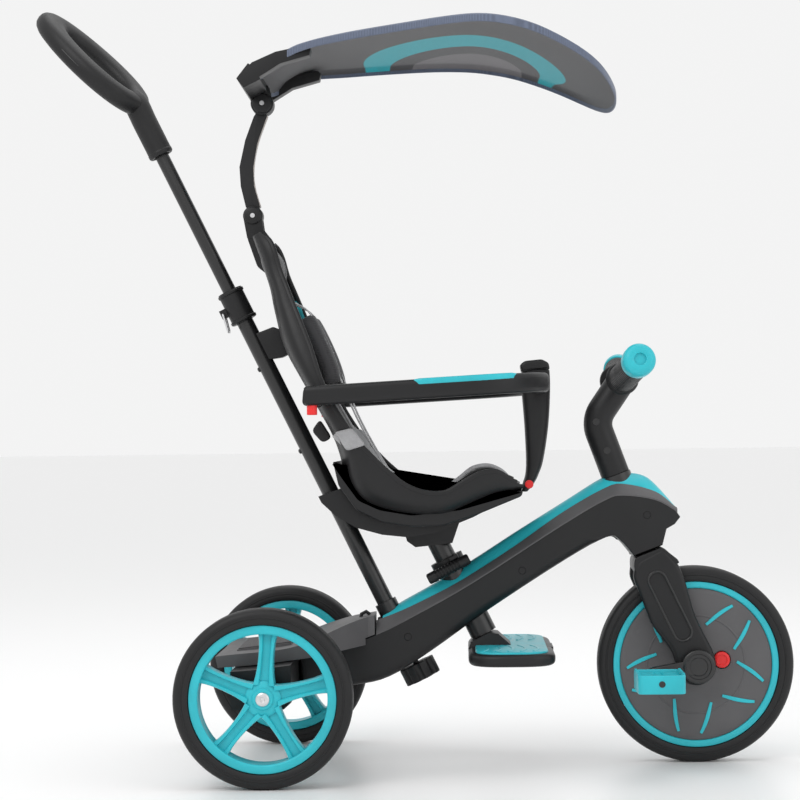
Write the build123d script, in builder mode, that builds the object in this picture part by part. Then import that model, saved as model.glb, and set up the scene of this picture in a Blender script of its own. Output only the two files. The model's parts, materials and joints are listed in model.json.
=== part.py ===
"""Children's push-along tricycle with seat, safety ring, canopy and push bar.

Millimetres. +X is forwards, +Y is the rider's left, +Z is up. The origin is on the
floor, under the middle of the tricycle. The right-hand pieces (-Y) are modelled and
the left-hand ones are their mirror images.
"""

import os
from math import cos, radians, sin

from build123d import *

# ---- driving sizes -------------------------------------------------------------
# Wheels
FRONT_RADIUS = 127.0
REAR_RADIUS = 110.0
TYRE_WIDTH = 44.0
TYRE_DEPTH = 20.0
FRONT_HUB_X = 364.2
REAR_HUB_X = -182.0
TRACK = 436.0
REAR_SPOKES = 5
# Steering
STEER_LEAN = 20.0
STEER_TOP = (264.5, 373.8)
HEAD_LENGTH = 104.0
HEAD_RADIUS = 20.0
STEERER_RADIUS = 12.7
STEM_RADIUS = 17.0
STEM_HEIGHT = 76.0
BAR_RADIUS = 11.0
HANDLEBAR_HALF = 200.0
GRIP_RADIUS = 18.0
GRIP_LENGTH = 118.0
# Cranks and pedals
CRANK_LENGTH = 58.5
CRANK_AXLE_RADIUS = 7.0
SPINDLE_RADIUS = 4.0
PEDAL_LENGTH = 60.0
PEDAL_INNER = 106.0
PEDAL_OUTER = 189.0
PEDAL_HEIGHT = 26.0
# Frame
FRAME_HALF = 40.0
STRIP_HALF = 23.0
FRAME_WALL = 4.0
SPINE_RADIUS = 13.0
CROSS_TUBE_RADIUS = 14.0
AXLE_RADIUS = 6.0
DECK_HALF = 128.0
# Seat
SEAT_LEAN = 26.0
POST_AXIS = (35.0, 280.0)
POST_RADIUS = 14.0
SLEEVE_WALL = 3.5
SEAT_HALF = 130.0
SEAT_WALL = 5.0
SEAT_TRAVEL = 12.0
# Safety ring
RING_HALF = 165.0
RING_THICK = 22.0
RING_HEIGHT = 25.0
RING_FRONT = 178.0
# Push bar
BAR_LEAN = 26.0
BAR_FOOT = (-36.3, 206.0)
LOWER_TUBE_RADIUS = 11.0
LOWER_TUBE_WALL = 1.95
LOWER_TUBE_LENGTH = 438.0
BAR_SINK = 66.0
UPPER_TUBE_LENGTH = 228.0
UPPER_TUBE_SINK = 130.0
HANDLE_ROD = 13.0
# Canopy
CANOPY_HALF = 218.0
CANOPY_SHEET = 3.0
ARM_THICK = 14.0
HINGE_PIN_RADIUS = 4.0
# Footrest
FOOTREST_HALF = 150.0
FOOTREST_TOP = (79.0, 190.0)
FOOT_SOCKET = 24.0
PLUG_RADIUS = 10.0
PLATE_THICK = 14.0
# Fits
RUN = 0.05
GAP = 0.5

FRONT_HUB = (FRONT_HUB_X, FRONT_RADIUS)
REAR_HUB = (REAR_HUB_X, REAR_RADIUS)
UPPER_TUBE_RADIUS = LOWER_TUBE_RADIUS - LOWER_TUBE_WALL - RUN
WHEEL_Y = TRACK / 2
LEG_INNER = TYRE_WIDTH / 2 + 5.0
LEG_OUTER = LEG_INNER + 17.0
SLEEVE_RADIUS = POST_RADIUS + RUN + SLEEVE_WALL
SOCKET_RADIUS = LOWER_TUBE_RADIUS + RUN + SLEEVE_WALL

os.makedirs("parts", exist_ok=True)


# ---- helpers -------------------------------------------------------------------
def save(piece, name):
    """Label a finished piece and write it."""
    piece.part.label = name
    export_step(piece.part, f"parts/{name}.step")


def save_pair(piece, name):
    """Write a right-hand piece and its left-hand mirror image."""
    save(piece, f"{name}_right")
    with BuildPart() as left:
        mirror(piece.part, about=Plane.XZ)
    save(left, f"{name}_left")


def save_twins(piece, name):
    """Write a right-hand piece and its mirror image as one node."""
    with BuildPart() as twins:
        add(piece.part)
        mirror(piece.part, about=Plane.XZ)
    save(twins, name)


def largest(solid):
    """Main solid of a part that a cut has left in several pieces."""
    with BuildPart() as kept:
        add(solid.part.solids().sort_by(SortBy.VOLUME)[-1])
    return kept


def side_plane(y=0.0):
    """Side view plane at y: local x is X, local y is Z, and it faces -Y."""
    return Plane.XZ.offset(-y)


def leaning(point, lean):
    """Plane through (x, z) whose normal points up, leaning backwards by lean."""
    back = (-sin(radians(lean)), 0, cos(radians(lean)))
    return Plane(origin=(point[0], 0, point[1]), x_dir=(0, 1, 0), z_dir=back)


def along(point, lean, distance):
    """Point (x, z) at a distance up a line that leans backwards."""
    return (
        point[0] - distance * sin(radians(lean)),
        point[1] + distance * cos(radians(lean)),
    )


def plate(outline, y_low, y_high, corner=0.0):
    """Solid between two y values with a straight-sided outline in the side view."""
    with BuildPart() as solid:
        with BuildSketch(side_plane(y_high)):
            with BuildLine():
                Polyline(*outline, close=True)
            make_face()
            if corner:
                fillet(vertices(), corner)
        extrude(amount=y_high - y_low)
    return solid.part


def curved_plate(edges, y_low, y_high):
    """Solid between two y values; each of the edges is a curve through its points."""
    with BuildPart() as solid:
        with BuildSketch(side_plane(y_high)):
            with BuildLine():
                for points in edges:
                    if len(points) == 2:
                        Line(*points)
                    else:
                        Spline(*points)
            make_face()
        extrude(amount=y_high - y_low)
    return solid.part


def rod(plane, radius, start, length):
    """Round rod along a plane's normal."""
    with BuildPart() as solid:
        with BuildSketch(plane.offset(start)):
            Circle(radius)
        extrude(amount=length)
    return solid.part


def cross_rod(point, radius, y_low, y_high):
    """Round rod along Y at (x, z)."""
    with BuildPart() as solid:
        with BuildSketch(side_plane(y_high)):
            with Locations(point):
                Circle(radius)
        extrude(amount=y_high - y_low)
    return solid.part


def turned(point, outline, corner=0.0):
    """Solid of revolution about the Y line through (x, z); outline is (y, radius)."""
    x, z = point
    with BuildPart() as solid:
        with BuildSketch(Plane(origin=(x, 0, z), x_dir=(0, 1, 0), z_dir=(1, 0, 0))):
            with BuildLine():
                Polyline(*outline, close=True)
            make_face()
            if corner:
                fillet(vertices(), corner)
        revolve(axis=Axis((x, 0, z), (0, 1, 0)))
    return solid.part


# ---- frame ---------------------------------------------------------------------
SHELL_REAR_X = -150.0
SHELL_TOP = [
    (SHELL_REAR_X, 148), (-97.5, 157.6), (-47.8, 173.2), (2.1, 197.5), (76.8, 238.7),
    (193.9, 312.4), (247.6, 342.9), (271.4, 348.8), (312.7, 342.9), (339.1, 328.5),
]
HEAD_REAR = (284.0, 267.5)
HEAD_FRONT = (322.0, 281.3)
SHELL_UNDER = [
    HEAD_REAR, (266, 289.5), (249.3, 293.4), (194.9, 264.3), (96.1, 201.5),
    (21.3, 149.1), (-33.6, 116.2), (-78.3, 105.5), (SHELL_REAR_X, 96),
]
NOSE = [SHELL_TOP[-1], (347.0, 317.5), (327.5, 304.0), HEAD_FRONT]
COVER_TOP = [
    (-48.0, 190.0), (-15.6, 202.0), (26.9, 222.0), (64.5, 242.0), (127.0, 281.0),
    (195.0, 327.5), (249.0, 357.5), (272.9, 362.5), (314.5, 352.0), (339.8, 331.5),
]
STRIP_TOP = [
    (-41.4, 195.0), (-19.9, 209.7), (29.3, 236.8), (82.4, 268.8), (132.9, 300.8),
    (195.9, 339.4), (245.8, 369.6), (270.0, 375.8), (295.4, 374.3), (313.2, 363.6),
    (339.9, 332.5),
]


def shell_edges(top, under, nose):
    """Closed outline of the frame's side: top, nose, head base, underside, rear."""
    edges = [top]
    edges += [list(pair) for pair in zip(nose, nose[1:])]
    return edges + [[nose[-1], under[0]], under, [under[-1], top[0]]]


def frame_solid(half):
    """Frame's filled side outline, out to half on each side."""
    return curved_plate(shell_edges(SHELL_TOP, SHELL_UNDER, NOSE), -half, half)


head_plane = leaning(STEER_TOP, STEER_LEAN)
post_plane = leaning(POST_AXIS, SEAT_LEAN)
footrest_plane = leaning(FOOTREST_TOP, SEAT_LEAN)
bar_plane = leaning(BAR_FOOT, BAR_LEAN)
SLEEVE_TOP = -24.0
SLEEVE_BOTTOM = -92.0
FOOT_JOIN = 12.0
SOCKET_TOP = 6.0
SOCKET_BOTTOM = -72.0
KNOB_TOP = -90.0
SPINE_REAR = (-60.0, 131.4)
SPINE_SLOPE = 31.5
CROSS_TUBE_HALF = WHEEL_Y - 12.0


def head_envelope(clearance):
    return rod(head_plane, HEAD_RADIUS + clearance, -HEAD_LENGTH - 10, HEAD_LENGTH + 20)


def post_envelope(clearance):
    return rod(post_plane, SLEEVE_RADIUS + clearance, SLEEVE_BOTTOM - 4, 100)


def socket_envelope(clearance):
    return rod(bar_plane, SOCKET_RADIUS + clearance, SOCKET_BOTTOM - 4, 100)


def footrest_envelope(clearance):
    return rod(footrest_plane, SLEEVE_RADIUS + clearance, -FOOT_SOCKET, FOOT_SOCKET + FOOT_JOIN)


def steel_chassis():
    """Welded tubes inside the frame: spine, head tube, post sleeve, bar socket, axle tube."""
    spine = Plane(
        origin=(SPINE_REAR[0], 0, SPINE_REAR[1]),
        x_dir=(0, 1, 0),
        z_dir=(cos(radians(SPINE_SLOPE)), 0, sin(radians(SPINE_SLOPE))),
    )
    tail = Plane(
        origin=(SPINE_REAR[0], 0, SPINE_REAR[1]),
        x_dir=(0, 1, 0),
        z_dir=(REAR_HUB[0] - SPINE_REAR[0], 0, REAR_HUB[1] - SPINE_REAR[1]),
    )
    reach = ((REAR_HUB[0] - SPINE_REAR[0]) ** 2 + (REAR_HUB[1] - SPINE_REAR[1]) ** 2) ** 0.5
    with BuildPart() as chassis:
        add(rod(spine, SPINE_RADIUS, 0, 392))
        add(rod(tail, SPINE_RADIUS - 1, 0, reach))
        with Locations((SPINE_REAR[0], 0, SPINE_REAR[1])):
            Sphere(SPINE_RADIUS)
        add(rod(head_plane, HEAD_RADIUS, -HEAD_LENGTH, HEAD_LENGTH))
        add(rod(post_plane, SLEEVE_RADIUS, SLEEVE_BOTTOM, SLEEVE_TOP - SLEEVE_BOTTOM))
        add(rod(bar_plane, SOCKET_RADIUS, SOCKET_BOTTOM, SOCKET_TOP - SOCKET_BOTTOM))
        add(footrest_envelope(0))
        add(cross_rod(REAR_HUB, CROSS_TUBE_RADIUS, -CROSS_TUBE_HALF, CROSS_TUBE_HALF))
        add(
            rod(head_plane, STEERER_RADIUS + BUSH_WALL, -HEAD_LENGTH - 1, HEAD_LENGTH + 2),
            mode=Mode.SUBTRACT,
        )
        add(rod(post_plane, POST_RADIUS + RUN, SLEEVE_BOTTOM - 1, 100), mode=Mode.SUBTRACT)
        add(
            rod(bar_plane, LOWER_TUBE_RADIUS + RUN, -BAR_SINK - 1, 100),
            mode=Mode.SUBTRACT,
        )
        add(rod(bar_plane, KNOB_BOLT_RADIUS + GAP, SOCKET_BOTTOM - 1, 30), mode=Mode.SUBTRACT)
        add(
            rod(footrest_plane, PLUG_RADIUS + RUN, -FOOT_SOCKET - 1, FOOT_SOCKET - 3),
            mode=Mode.SUBTRACT,
        )
        add(
            cross_rod(REAR_HUB, AXLE_RADIUS, -CROSS_TUBE_HALF - 1, CROSS_TUBE_HALF + 1),
            mode=Mode.SUBTRACT,
        )
    save(chassis, "steel_chassis")


KNOB_BOLT_RADIUS = 4.0
KNOB_BOLT_LENGTH = 36.0
KNOB_RADIUS = 24.0
KNOB_HEIGHT = 22.0
SCREW_SPOTS = [(140.0, 250.0), (-8.0, 166.0), (300.0, 322.0), (222.0, 300.0)]
SCREW_RADIUS = 3.5
SCREW_SINK = 3.0


def inset(points, wall):
    """Points moved sideways by the wall, towards the right of their direction."""
    moved = []
    for index, (x, z) in enumerate(points):
        before = points[max(index - 1, 0)]
        after = points[min(index + 1, len(points) - 1)]
        dx, dz = after[0] - before[0], after[1] - before[1]
        size = (dx**2 + dz**2) ** 0.5
        moved.append((x + wall * dz / size, z - wall * dx / size))
    return moved


def frame_shells():
    """Two hollow plastic halves that meet on the middle plane around the chassis."""
    roof = inset(SHELL_TOP[:-1], FRAME_WALL)
    floor = inset(SHELL_UNDER[1:], FRAME_WALL)
    cavity = [roof, [roof[-1], floor[0]], floor, [floor[-1], roof[0]]]
    half = FRAME_HALF - FRAME_WALL
    with BuildPart() as shell:
        add(curved_plate(shell_edges(SHELL_TOP, SHELL_UNDER, NOSE), -FRAME_HALF, 0))
        add(curved_plate(cavity, -half, half), mode=Mode.SUBTRACT)
        add(head_envelope(GAP), mode=Mode.SUBTRACT)
        add(post_envelope(GAP), mode=Mode.SUBTRACT)
        add(socket_envelope(GAP), mode=Mode.SUBTRACT)
        add(footrest_envelope(GAP), mode=Mode.SUBTRACT)
        add(rod(bar_plane, KNOB_BOLT_RADIUS + GAP, KNOB_TOP, KNOB_BOLT_LENGTH), mode=Mode.SUBTRACT)
        with Locations((SHELL_REAR_X, 0, REAR_HUB[1] + 9)):
            Box(20, 2 * SPINE_RADIUS + 6, 2 * SPINE_RADIUS + 8, mode=Mode.SUBTRACT)
        for spot in SCREW_SPOTS:
            add(
                cross_rod(spot, SCREW_RADIUS + GAP, -FRAME_HALF - 1, -FRAME_HALF + SCREW_SINK),
                mode=Mode.SUBTRACT,
            )
    save_pair(shell, "frame_shell")
    with BuildPart() as screws:
        for side in (-1, 1):
            for x, z in SCREW_SPOTS:
                y = side * (FRAME_HALF - SCREW_SINK + 1)
                add(cross_rod((x, z), SCREW_RADIUS, y - 1, y + 1))
    save(screws, "frame_screws")


def frame_covers():
    """Grey saddle cover on the shells and the coloured strip on top of it."""
    body = frame_solid(FRAME_HALF + 5)
    with BuildPart() as cover:
        foot = [COVER_TOP[0], (-52.0, 150.0)]
        nose = [(339.1, 300.0), COVER_TOP[-1]]
        add(curved_plate([COVER_TOP, foot, [foot[1], nose[0]], nose], -FRAME_HALF, FRAME_HALF))
        add(body, mode=Mode.SUBTRACT)
        for tool in (head_envelope(GAP), post_envelope(GAP), socket_envelope(GAP)):
            add(tool, mode=Mode.SUBTRACT)
        with Locations((340, 0, 300)):
            Box(40, 100, 50, mode=Mode.SUBTRACT)
    with BuildPart() as kept:
        add(cover.part.solids().sort_by(SortBy.VOLUME)[-1])
    save(kept, "frame_top_cover")
    with BuildPart() as strip:
        foot = [STRIP_TOP[0], (-41.4, 150.0)]
        nose = [(339.9, 300.0), STRIP_TOP[-1]]
        add(curved_plate([STRIP_TOP, foot, [foot[1], nose[0]], nose], -STRIP_HALF, STRIP_HALF))
        add(body, mode=Mode.SUBTRACT)
        add(kept.part, mode=Mode.SUBTRACT)
        for tool in (head_envelope(GAP), post_envelope(GAP), socket_envelope(GAP)):
            add(tool, mode=Mode.SUBTRACT)
    with BuildPart() as pieces:
        for solid in strip.part.solids().filter_by(lambda s: s.volume > 300):
            add(solid)
    save(pieces, "frame_top_strip")
    return kept.part, pieces.part


DECK_TOP = [(-250.0, 153.0), (-196.0, 158.0), (-150.0, 164.5), (-108.0, 179.5), (-52.0, 196.0)]
DECK_UNDER = [(-247.0, 139.0), (-196.0, 142.5), (-150.0, 148.0)]
DECK_RIBS = 7
DECK_RIB_PITCH = 12.0
AXLE_COVER_HALF = WHEEL_Y - TYRE_WIDTH / 2 - 14.0


def rear_deck(covers):
    """Step plate between the rear wheels, with ribs, and the axle cover under it."""
    with BuildPart() as deck:
        front = [DECK_TOP[-1], (-52.0, 160.0)]
        under = [front[1], DECK_UNDER[-1]]
        add(
            curved_plate(
                [DECK_TOP, front, under, DECK_UNDER[::-1], [DECK_UNDER[0], DECK_TOP[0]]],
                -DECK_HALF,
                DECK_HALF,
            )
        )
        with BuildSketch(Plane.XY.offset(100)):
            with BuildLine():
                Polyline(
                    (-260, -DECK_HALF - 5), (-128, -DECK_HALF - 5), (-60, -FRAME_HALF),
                    (-40, -FRAME_HALF), (-40, FRAME_HALF), (-60, FRAME_HALF),
                    (-128, DECK_HALF + 5), (-260, DECK_HALF + 5), close=True,
                )
            make_face()
        extrude(amount=120, mode=Mode.INTERSECT)
        with BuildSketch(Plane.XY.offset(100)):
            with Locations((-190, 0)):
                Rectangle(160, 2 * DECK_HALF)
            fillet(vertices(), 18)
            with Locations((-80, 0)):
                Rectangle(90, 3 * DECK_HALF)
        extrude(amount=120, mode=Mode.INTERSECT)
        add(frame_solid(FRAME_HALF + 5), mode=Mode.SUBTRACT)
        for other in covers:
            add(other, mode=Mode.SUBTRACT)
        add(socket_envelope(GAP), mode=Mode.SUBTRACT)
    with BuildPart() as kept:
        add(deck.part.solids().sort_by(SortBy.VOLUME)[-1])
        with Locations((-192, 0, 159)):
            with GridLocations(0, DECK_RIB_PITCH * 2, 1, DECK_RIBS):
                Box(70, DECK_RIB_PITCH, 5, rotation=(0, -7, 0))
    save(kept, "rear_step_deck")
    with BuildPart() as cover:
        add(
            plate(
                [(-226, 92), (-160, 92), (-151, 100), (-151, 146.5), (-196, 141), (-226, 139)],
                -AXLE_COVER_HALF,
                AXLE_COVER_HALF,
            )
        )
        add(kept.part, mode=Mode.SUBTRACT)
        add(
            cross_rod(REAR_HUB, CROSS_TUBE_RADIUS + RUN, -WHEEL_Y, WHEEL_Y),
            mode=Mode.SUBTRACT,
        )
        with Locations((-164, 0, REAR_HUB[1] + 2)):
            Box(30, 2 * SPINE_RADIUS + 2, 2 * SPINE_RADIUS + 6, mode=Mode.SUBTRACT)
    save(cover, "rear_axle_cover")


# ---- wheels --------------------------------------------------------------------
RIM_WIDTH = 34.0
REAR_RIM_OUTER = REAR_RADIUS - TYRE_DEPTH
REAR_RIM_INNER = 78.0
REAR_HUB_RADIUS = 22.0
SPOKE_WIDTH = 19.0
SPOKE_START = 13.0


def tyre(hub, radius, y):
    """Rubber tyre with a rounded tread and a flat seat on the rim."""
    half = TYRE_WIDTH / 2
    rim = radius - TYRE_DEPTH
    return turned(
        hub,
        [
            (y - RIM_WIDTH / 2, rim), (y + RIM_WIDTH / 2, rim), (y + half, rim + 5),
            (y + half, radius - 9), (y + half - 9, radius), (y - half + 9, radius),
            (y - half, radius - 9), (y - half, rim + 5),
        ],
    )


def rear_wheels():
    """Rear wheels turn freely on the fixed axle; the right one is modelled."""
    y = -WHEEL_Y
    with BuildPart() as rubber:
        add(tyre(REAR_HUB, REAR_RADIUS, y))
    save_pair(rubber, "rear_tyre")
    with BuildPart() as rim:
        with BuildSketch(side_plane(y + RIM_WIDTH / 2)):
            with Locations(REAR_HUB):
                Circle(REAR_RIM_OUTER)
                Circle(REAR_RIM_INNER, mode=Mode.SUBTRACT)
        extrude(amount=RIM_WIDTH)
        with BuildSketch(side_plane(y + RIM_WIDTH / 2 - 6)):
            with Locations(REAR_HUB):
                Circle(REAR_HUB_RADIUS)
                with PolarLocations(
                    (REAR_HUB_RADIUS + REAR_RIM_INNER) / 2, REAR_SPOKES, start_angle=SPOKE_START
                ):
                    Rectangle(REAR_RIM_INNER - REAR_HUB_RADIUS + 14, SPOKE_WIDTH)
        extrude(amount=RIM_WIDTH - 12)
        add(
            cross_rod(REAR_HUB, AXLE_RADIUS + RUN, y - TYRE_WIDTH, y + TYRE_WIDTH),
            mode=Mode.SUBTRACT,
        )
    save_pair(rim, "rear_rim")
    with BuildPart() as axle:
        add(cross_rod(REAR_HUB, AXLE_RADIUS, -WHEEL_Y - 15, WHEEL_Y + 15))
    save(axle, "rear_axle")
    with BuildPart() as nuts:
        for side in (-1, 1):
            low, high = sorted((side * (WHEEL_Y + 11.5), side * (WHEEL_Y + 17.5)))
            add(cross_rod(REAR_HUB, AXLE_RADIUS + 4, low, high))
        add(axle.part, mode=Mode.SUBTRACT)
    save(nuts, "rear_axle_nuts")


FRONT_RIM_OUTER = FRONT_RADIUS - TYRE_DEPTH
FRONT_DISC_RADIUS = FRONT_RIM_OUTER - 8.5
DISC_THICK = 3.0
DISC_Y = 15.0
DISC_SEAT = 4.5
WEB_HALF = 4.0
FRONT_HUB_RADIUS = 21.0
DRIVE_BUTTON = (FRONT_HUB[0] + 33.5, FRONT_HUB[1] + 5.5)
DRIVE_BUTTON_RADIUS = 11.0
DRIVE_BUTTON_TRAVEL = 4.0


def front_wheel():
    """Front wheel: tyre, rim with its web and hub, two cover discs, drive button."""
    with BuildPart() as rubber:
        add(tyre(FRONT_HUB, FRONT_RADIUS, 0))
    save(rubber, "front_tyre")
    half = RIM_WIDTH / 2
    hub_half = DISC_Y + DISC_THICK + 2
    seat = FRONT_DISC_RADIUS - DISC_SEAT
    with BuildPart() as rim:
        add(
            turned(
                FRONT_HUB,
                [
                    (-half, FRONT_DISC_RADIUS), (-half, FRONT_RIM_OUTER), (half, FRONT_RIM_OUTER),
                    (half, FRONT_DISC_RADIUS), (DISC_Y, FRONT_DISC_RADIUS), (DISC_Y, seat),
                    (WEB_HALF, seat), (WEB_HALF, FRONT_HUB_RADIUS), (hub_half, FRONT_HUB_RADIUS),
                    (hub_half, CRANK_AXLE_RADIUS + RUN), (-hub_half, CRANK_AXLE_RADIUS + RUN),
                    (-hub_half, FRONT_HUB_RADIUS), (-WEB_HALF, FRONT_HUB_RADIUS),
                    (-WEB_HALF, seat), (-DISC_Y, seat), (-DISC_Y, FRONT_DISC_RADIUS),
                ],
            )
        )
    save(rim, "front_rim")
    with BuildPart() as disc:
        add(cross_rod(FRONT_HUB, FRONT_DISC_RADIUS, DISC_Y, DISC_Y + DISC_THICK))
        add(cross_rod(FRONT_HUB, FRONT_HUB_RADIUS, 0, WHEEL_Y), mode=Mode.SUBTRACT)
    save(disc, "front_disc_left")
    with BuildPart() as disc:
        add(cross_rod(FRONT_HUB, FRONT_DISC_RADIUS, -DISC_Y - DISC_THICK, -DISC_Y))
        add(cross_rod(FRONT_HUB, FRONT_HUB_RADIUS, -WHEEL_Y, 0), mode=Mode.SUBTRACT)
        add(
            cross_rod(DRIVE_BUTTON, DRIVE_BUTTON_RADIUS + RUN, -WHEEL_Y, 0), mode=Mode.SUBTRACT
        )
    save(disc, "front_disc_right")
    out = DISC_Y + DISC_THICK
    with BuildPart() as button:
        add(
            cross_rod(
                DRIVE_BUTTON, DRIVE_BUTTON_RADIUS, -out - DRIVE_BUTTON_TRAVEL,
                -WEB_HALF - DRIVE_BUTTON_TRAVEL - GAP,
            )
        )
        add(cross_rod(FRONT_HUB, FRONT_HUB_RADIUS + GAP, -WHEEL_Y, 0), mode=Mode.SUBTRACT)
    save(button, "drive_button")


# ---- steering ------------------------------------------------------------------
TYRE_SPACE = 6.0
INSET_DEPTH = 1.5
LEG_RECESS = ((313.0, 238.0), (346.0, 170.0))
RECESS_WIDTH = 22.0
BUSH_LENGTH = 14.0
BUSH_WALL = 3.0
STEERER_OVER = 20.0
FORK_TOP = -107.3


def steering():
    """Fork, steerer, bushes, stem, handlebar and grips."""
    leg = [
        HEAD_REAR, (284.0, 251.0), (282.2, 239.5), (287.1, 231.5), (305.1, 179.9),
        (FRONT_HUB[0] - 26, FRONT_HUB[1] + 10), (FRONT_HUB[0] - 22, FRONT_HUB[1] - 14),
        (FRONT_HUB[0] - 4, FRONT_HUB[1] - 25), (FRONT_HUB[0] + 16, FRONT_HUB[1] - 18),
        (FRONT_HUB[0] + 25, FRONT_HUB[1] - 2), (FRONT_HUB[0] + 20, FRONT_HUB[1] + 18),
        (360.6, 195.2), (343.5, 256.0), (330.1, 272.6), HEAD_FRONT,
    ]
    with BuildPart() as fork:
        add(plate(leg, -LEG_OUTER, LEG_OUTER))
        add(frame_solid(2 * FRAME_HALF), mode=Mode.SUBTRACT)
        add(
            cross_rod(FRONT_HUB, FRONT_RADIUS + TYRE_SPACE, -LEG_INNER, LEG_INNER),
            mode=Mode.SUBTRACT,
        )
        with BuildSketch(head_plane.offset(FORK_TOP)):
            Rectangle(200, 200)
        extrude(amount=60, mode=Mode.SUBTRACT)
        add(
            cross_rod(FRONT_HUB, CRANK_AXLE_RADIUS + 3, -LEG_OUTER - 1, LEG_OUTER + 1),
            mode=Mode.SUBTRACT,
        )
        for side in (-1, 1):
            low, high = sorted((side * (LEG_OUTER - INSET_DEPTH), side * (LEG_OUTER + 1)))
            add(leg_recess(low, high), mode=Mode.SUBTRACT)
        add(rod(head_plane, STEERER_RADIUS, -HEAD_LENGTH - 14, HEAD_LENGTH + 14 + STEERER_OVER))
    save(fork, "fork")
    with BuildPart() as bush:
        add(cross_rod(FRONT_HUB, CRANK_AXLE_RADIUS + 3, -LEG_OUTER, -LEG_INNER))
        add(
            cross_rod(FRONT_HUB, CRANK_AXLE_RADIUS + RUN, -LEG_OUTER - 1, 0), mode=Mode.SUBTRACT
        )
    save_twins(bush, "crank_bushes")
    with BuildPart() as bushes:
        for start in (-HEAD_LENGTH, -BUSH_LENGTH):
            add(rod(head_plane, STEERER_RADIUS + BUSH_WALL, start, BUSH_LENGTH))
        add(rod(head_plane, STEERER_RADIUS + RUN, -HEAD_LENGTH - 1, 200), mode=Mode.SUBTRACT)
    save(bushes, "head_bushes")


def leg_recess(y_low, y_high):
    """Long rounded recess in a fork leg's outer face."""
    top, foot = LEG_RECESS
    run = (top[0] - foot[0], top[1] - foot[1])
    plane = Plane(
        origin=((top[0] + foot[0]) / 2, y_high, (top[1] + foot[1]) / 2),
        x_dir=(run[0], 0, run[1]),
        z_dir=(0, -1, 0),
    )
    with BuildPart() as solid:
        with BuildSketch(plane):
            SlotCenterToCenter((run[0] ** 2 + run[1] ** 2) ** 0.5, RECESS_WIDTH)
        extrude(amount=y_high - y_low)
    return solid.part


STEM_BASE = 1.0
STEM_BEND = along(STEER_TOP, STEER_LEAN, STEM_HEIGHT)
STEM_END = (279.5, 505.0)
BAR_CENTRE = (267.5, 493.0)
BAR_END = (283.2, 518.0)
BAR_KINK = 34.0
CAP_RADIUS = 20.5
CAP_LENGTH = 26.0


def handlebar():
    """Bent stem on the steerer, bent handlebar through it, grips and end caps."""
    with BuildPart() as bar:
        with BuildLine():
            ends = (BAR_END[0], HANDLEBAR_HALF, BAR_END[1])
            kinks = (BAR_CENTRE[0], BAR_KINK, BAR_CENTRE[1])
            path = FilletPolyline(
                (ends[0], -ends[1], ends[2]), (kinks[0], -kinks[1], kinks[2]), kinks, ends,
                radius=40,
            )
        with BuildSketch(Plane(origin=path @ 0, z_dir=path % 0)):
            Circle(BAR_RADIUS)
        sweep()
    save(bar, "handlebar")
    with BuildPart() as stem:
        with BuildLine():
            base = along(STEER_TOP, STEER_LEAN, STEM_BASE)
            path = FilletPolyline(
                (base[0], 0, base[1]), (STEM_BEND[0], 0, STEM_BEND[1]),
                (STEM_END[0], 0, STEM_END[1]), radius=34,
            )
        with BuildSketch(Plane(origin=path @ 0, z_dir=path % 0)):
            Circle(STEM_RADIUS)
        sweep()
        add(bar.part, mode=Mode.SUBTRACT)
        add(rod(head_plane, STEERER_RADIUS, -5, STEERER_OVER + 5), mode=Mode.SUBTRACT)
    save(stem, "stem")
    start = Vector(kinks[0], -kinks[1], kinks[2])
    end = Vector(ends[0], -ends[1], ends[2])
    run = (end - start).normalized()
    seat = Plane(origin=end, x_dir=(0, 0, 1), z_dir=run)
    with BuildPart() as grip:
        add(rod(seat, GRIP_RADIUS, -GRIP_LENGTH - CAP_LENGTH + 6, GRIP_LENGTH))
        add(rod(seat, BAR_RADIUS, -GRIP_LENGTH - 40, GRIP_LENGTH + 60), mode=Mode.SUBTRACT)
    save_twins(grip, "grips")
    with BuildPart() as cap:
        add(rod(seat, CAP_RADIUS, -CAP_LENGTH + 6, CAP_LENGTH))
        add(rod(seat, BAR_RADIUS, -CAP_LENGTH - 1, CAP_LENGTH + 1), mode=Mode.SUBTRACT)
        add(rod(seat, 5.0, -1, 10), mode=Mode.SUBTRACT)
    save_twins(cap, "grip_end_caps")
    with BuildPart() as bolts:
        for height in (34.0, 74.0):
            x, z = along(STEER_TOP, STEER_LEAN, height)
            add(cross_rod((x, z), 4.5, -STEM_RADIUS - 2.5, -STEM_RADIUS + 2))
        add(stem.part, mode=Mode.SUBTRACT)
    save(bolts, "stem_bolts")


# ---- cranks and pedals ---------------------------------------------------------
CRANK_DROP = 8.0
CRANK_THICK = 11.0
BOSS_RADIUS = 22.0


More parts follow.
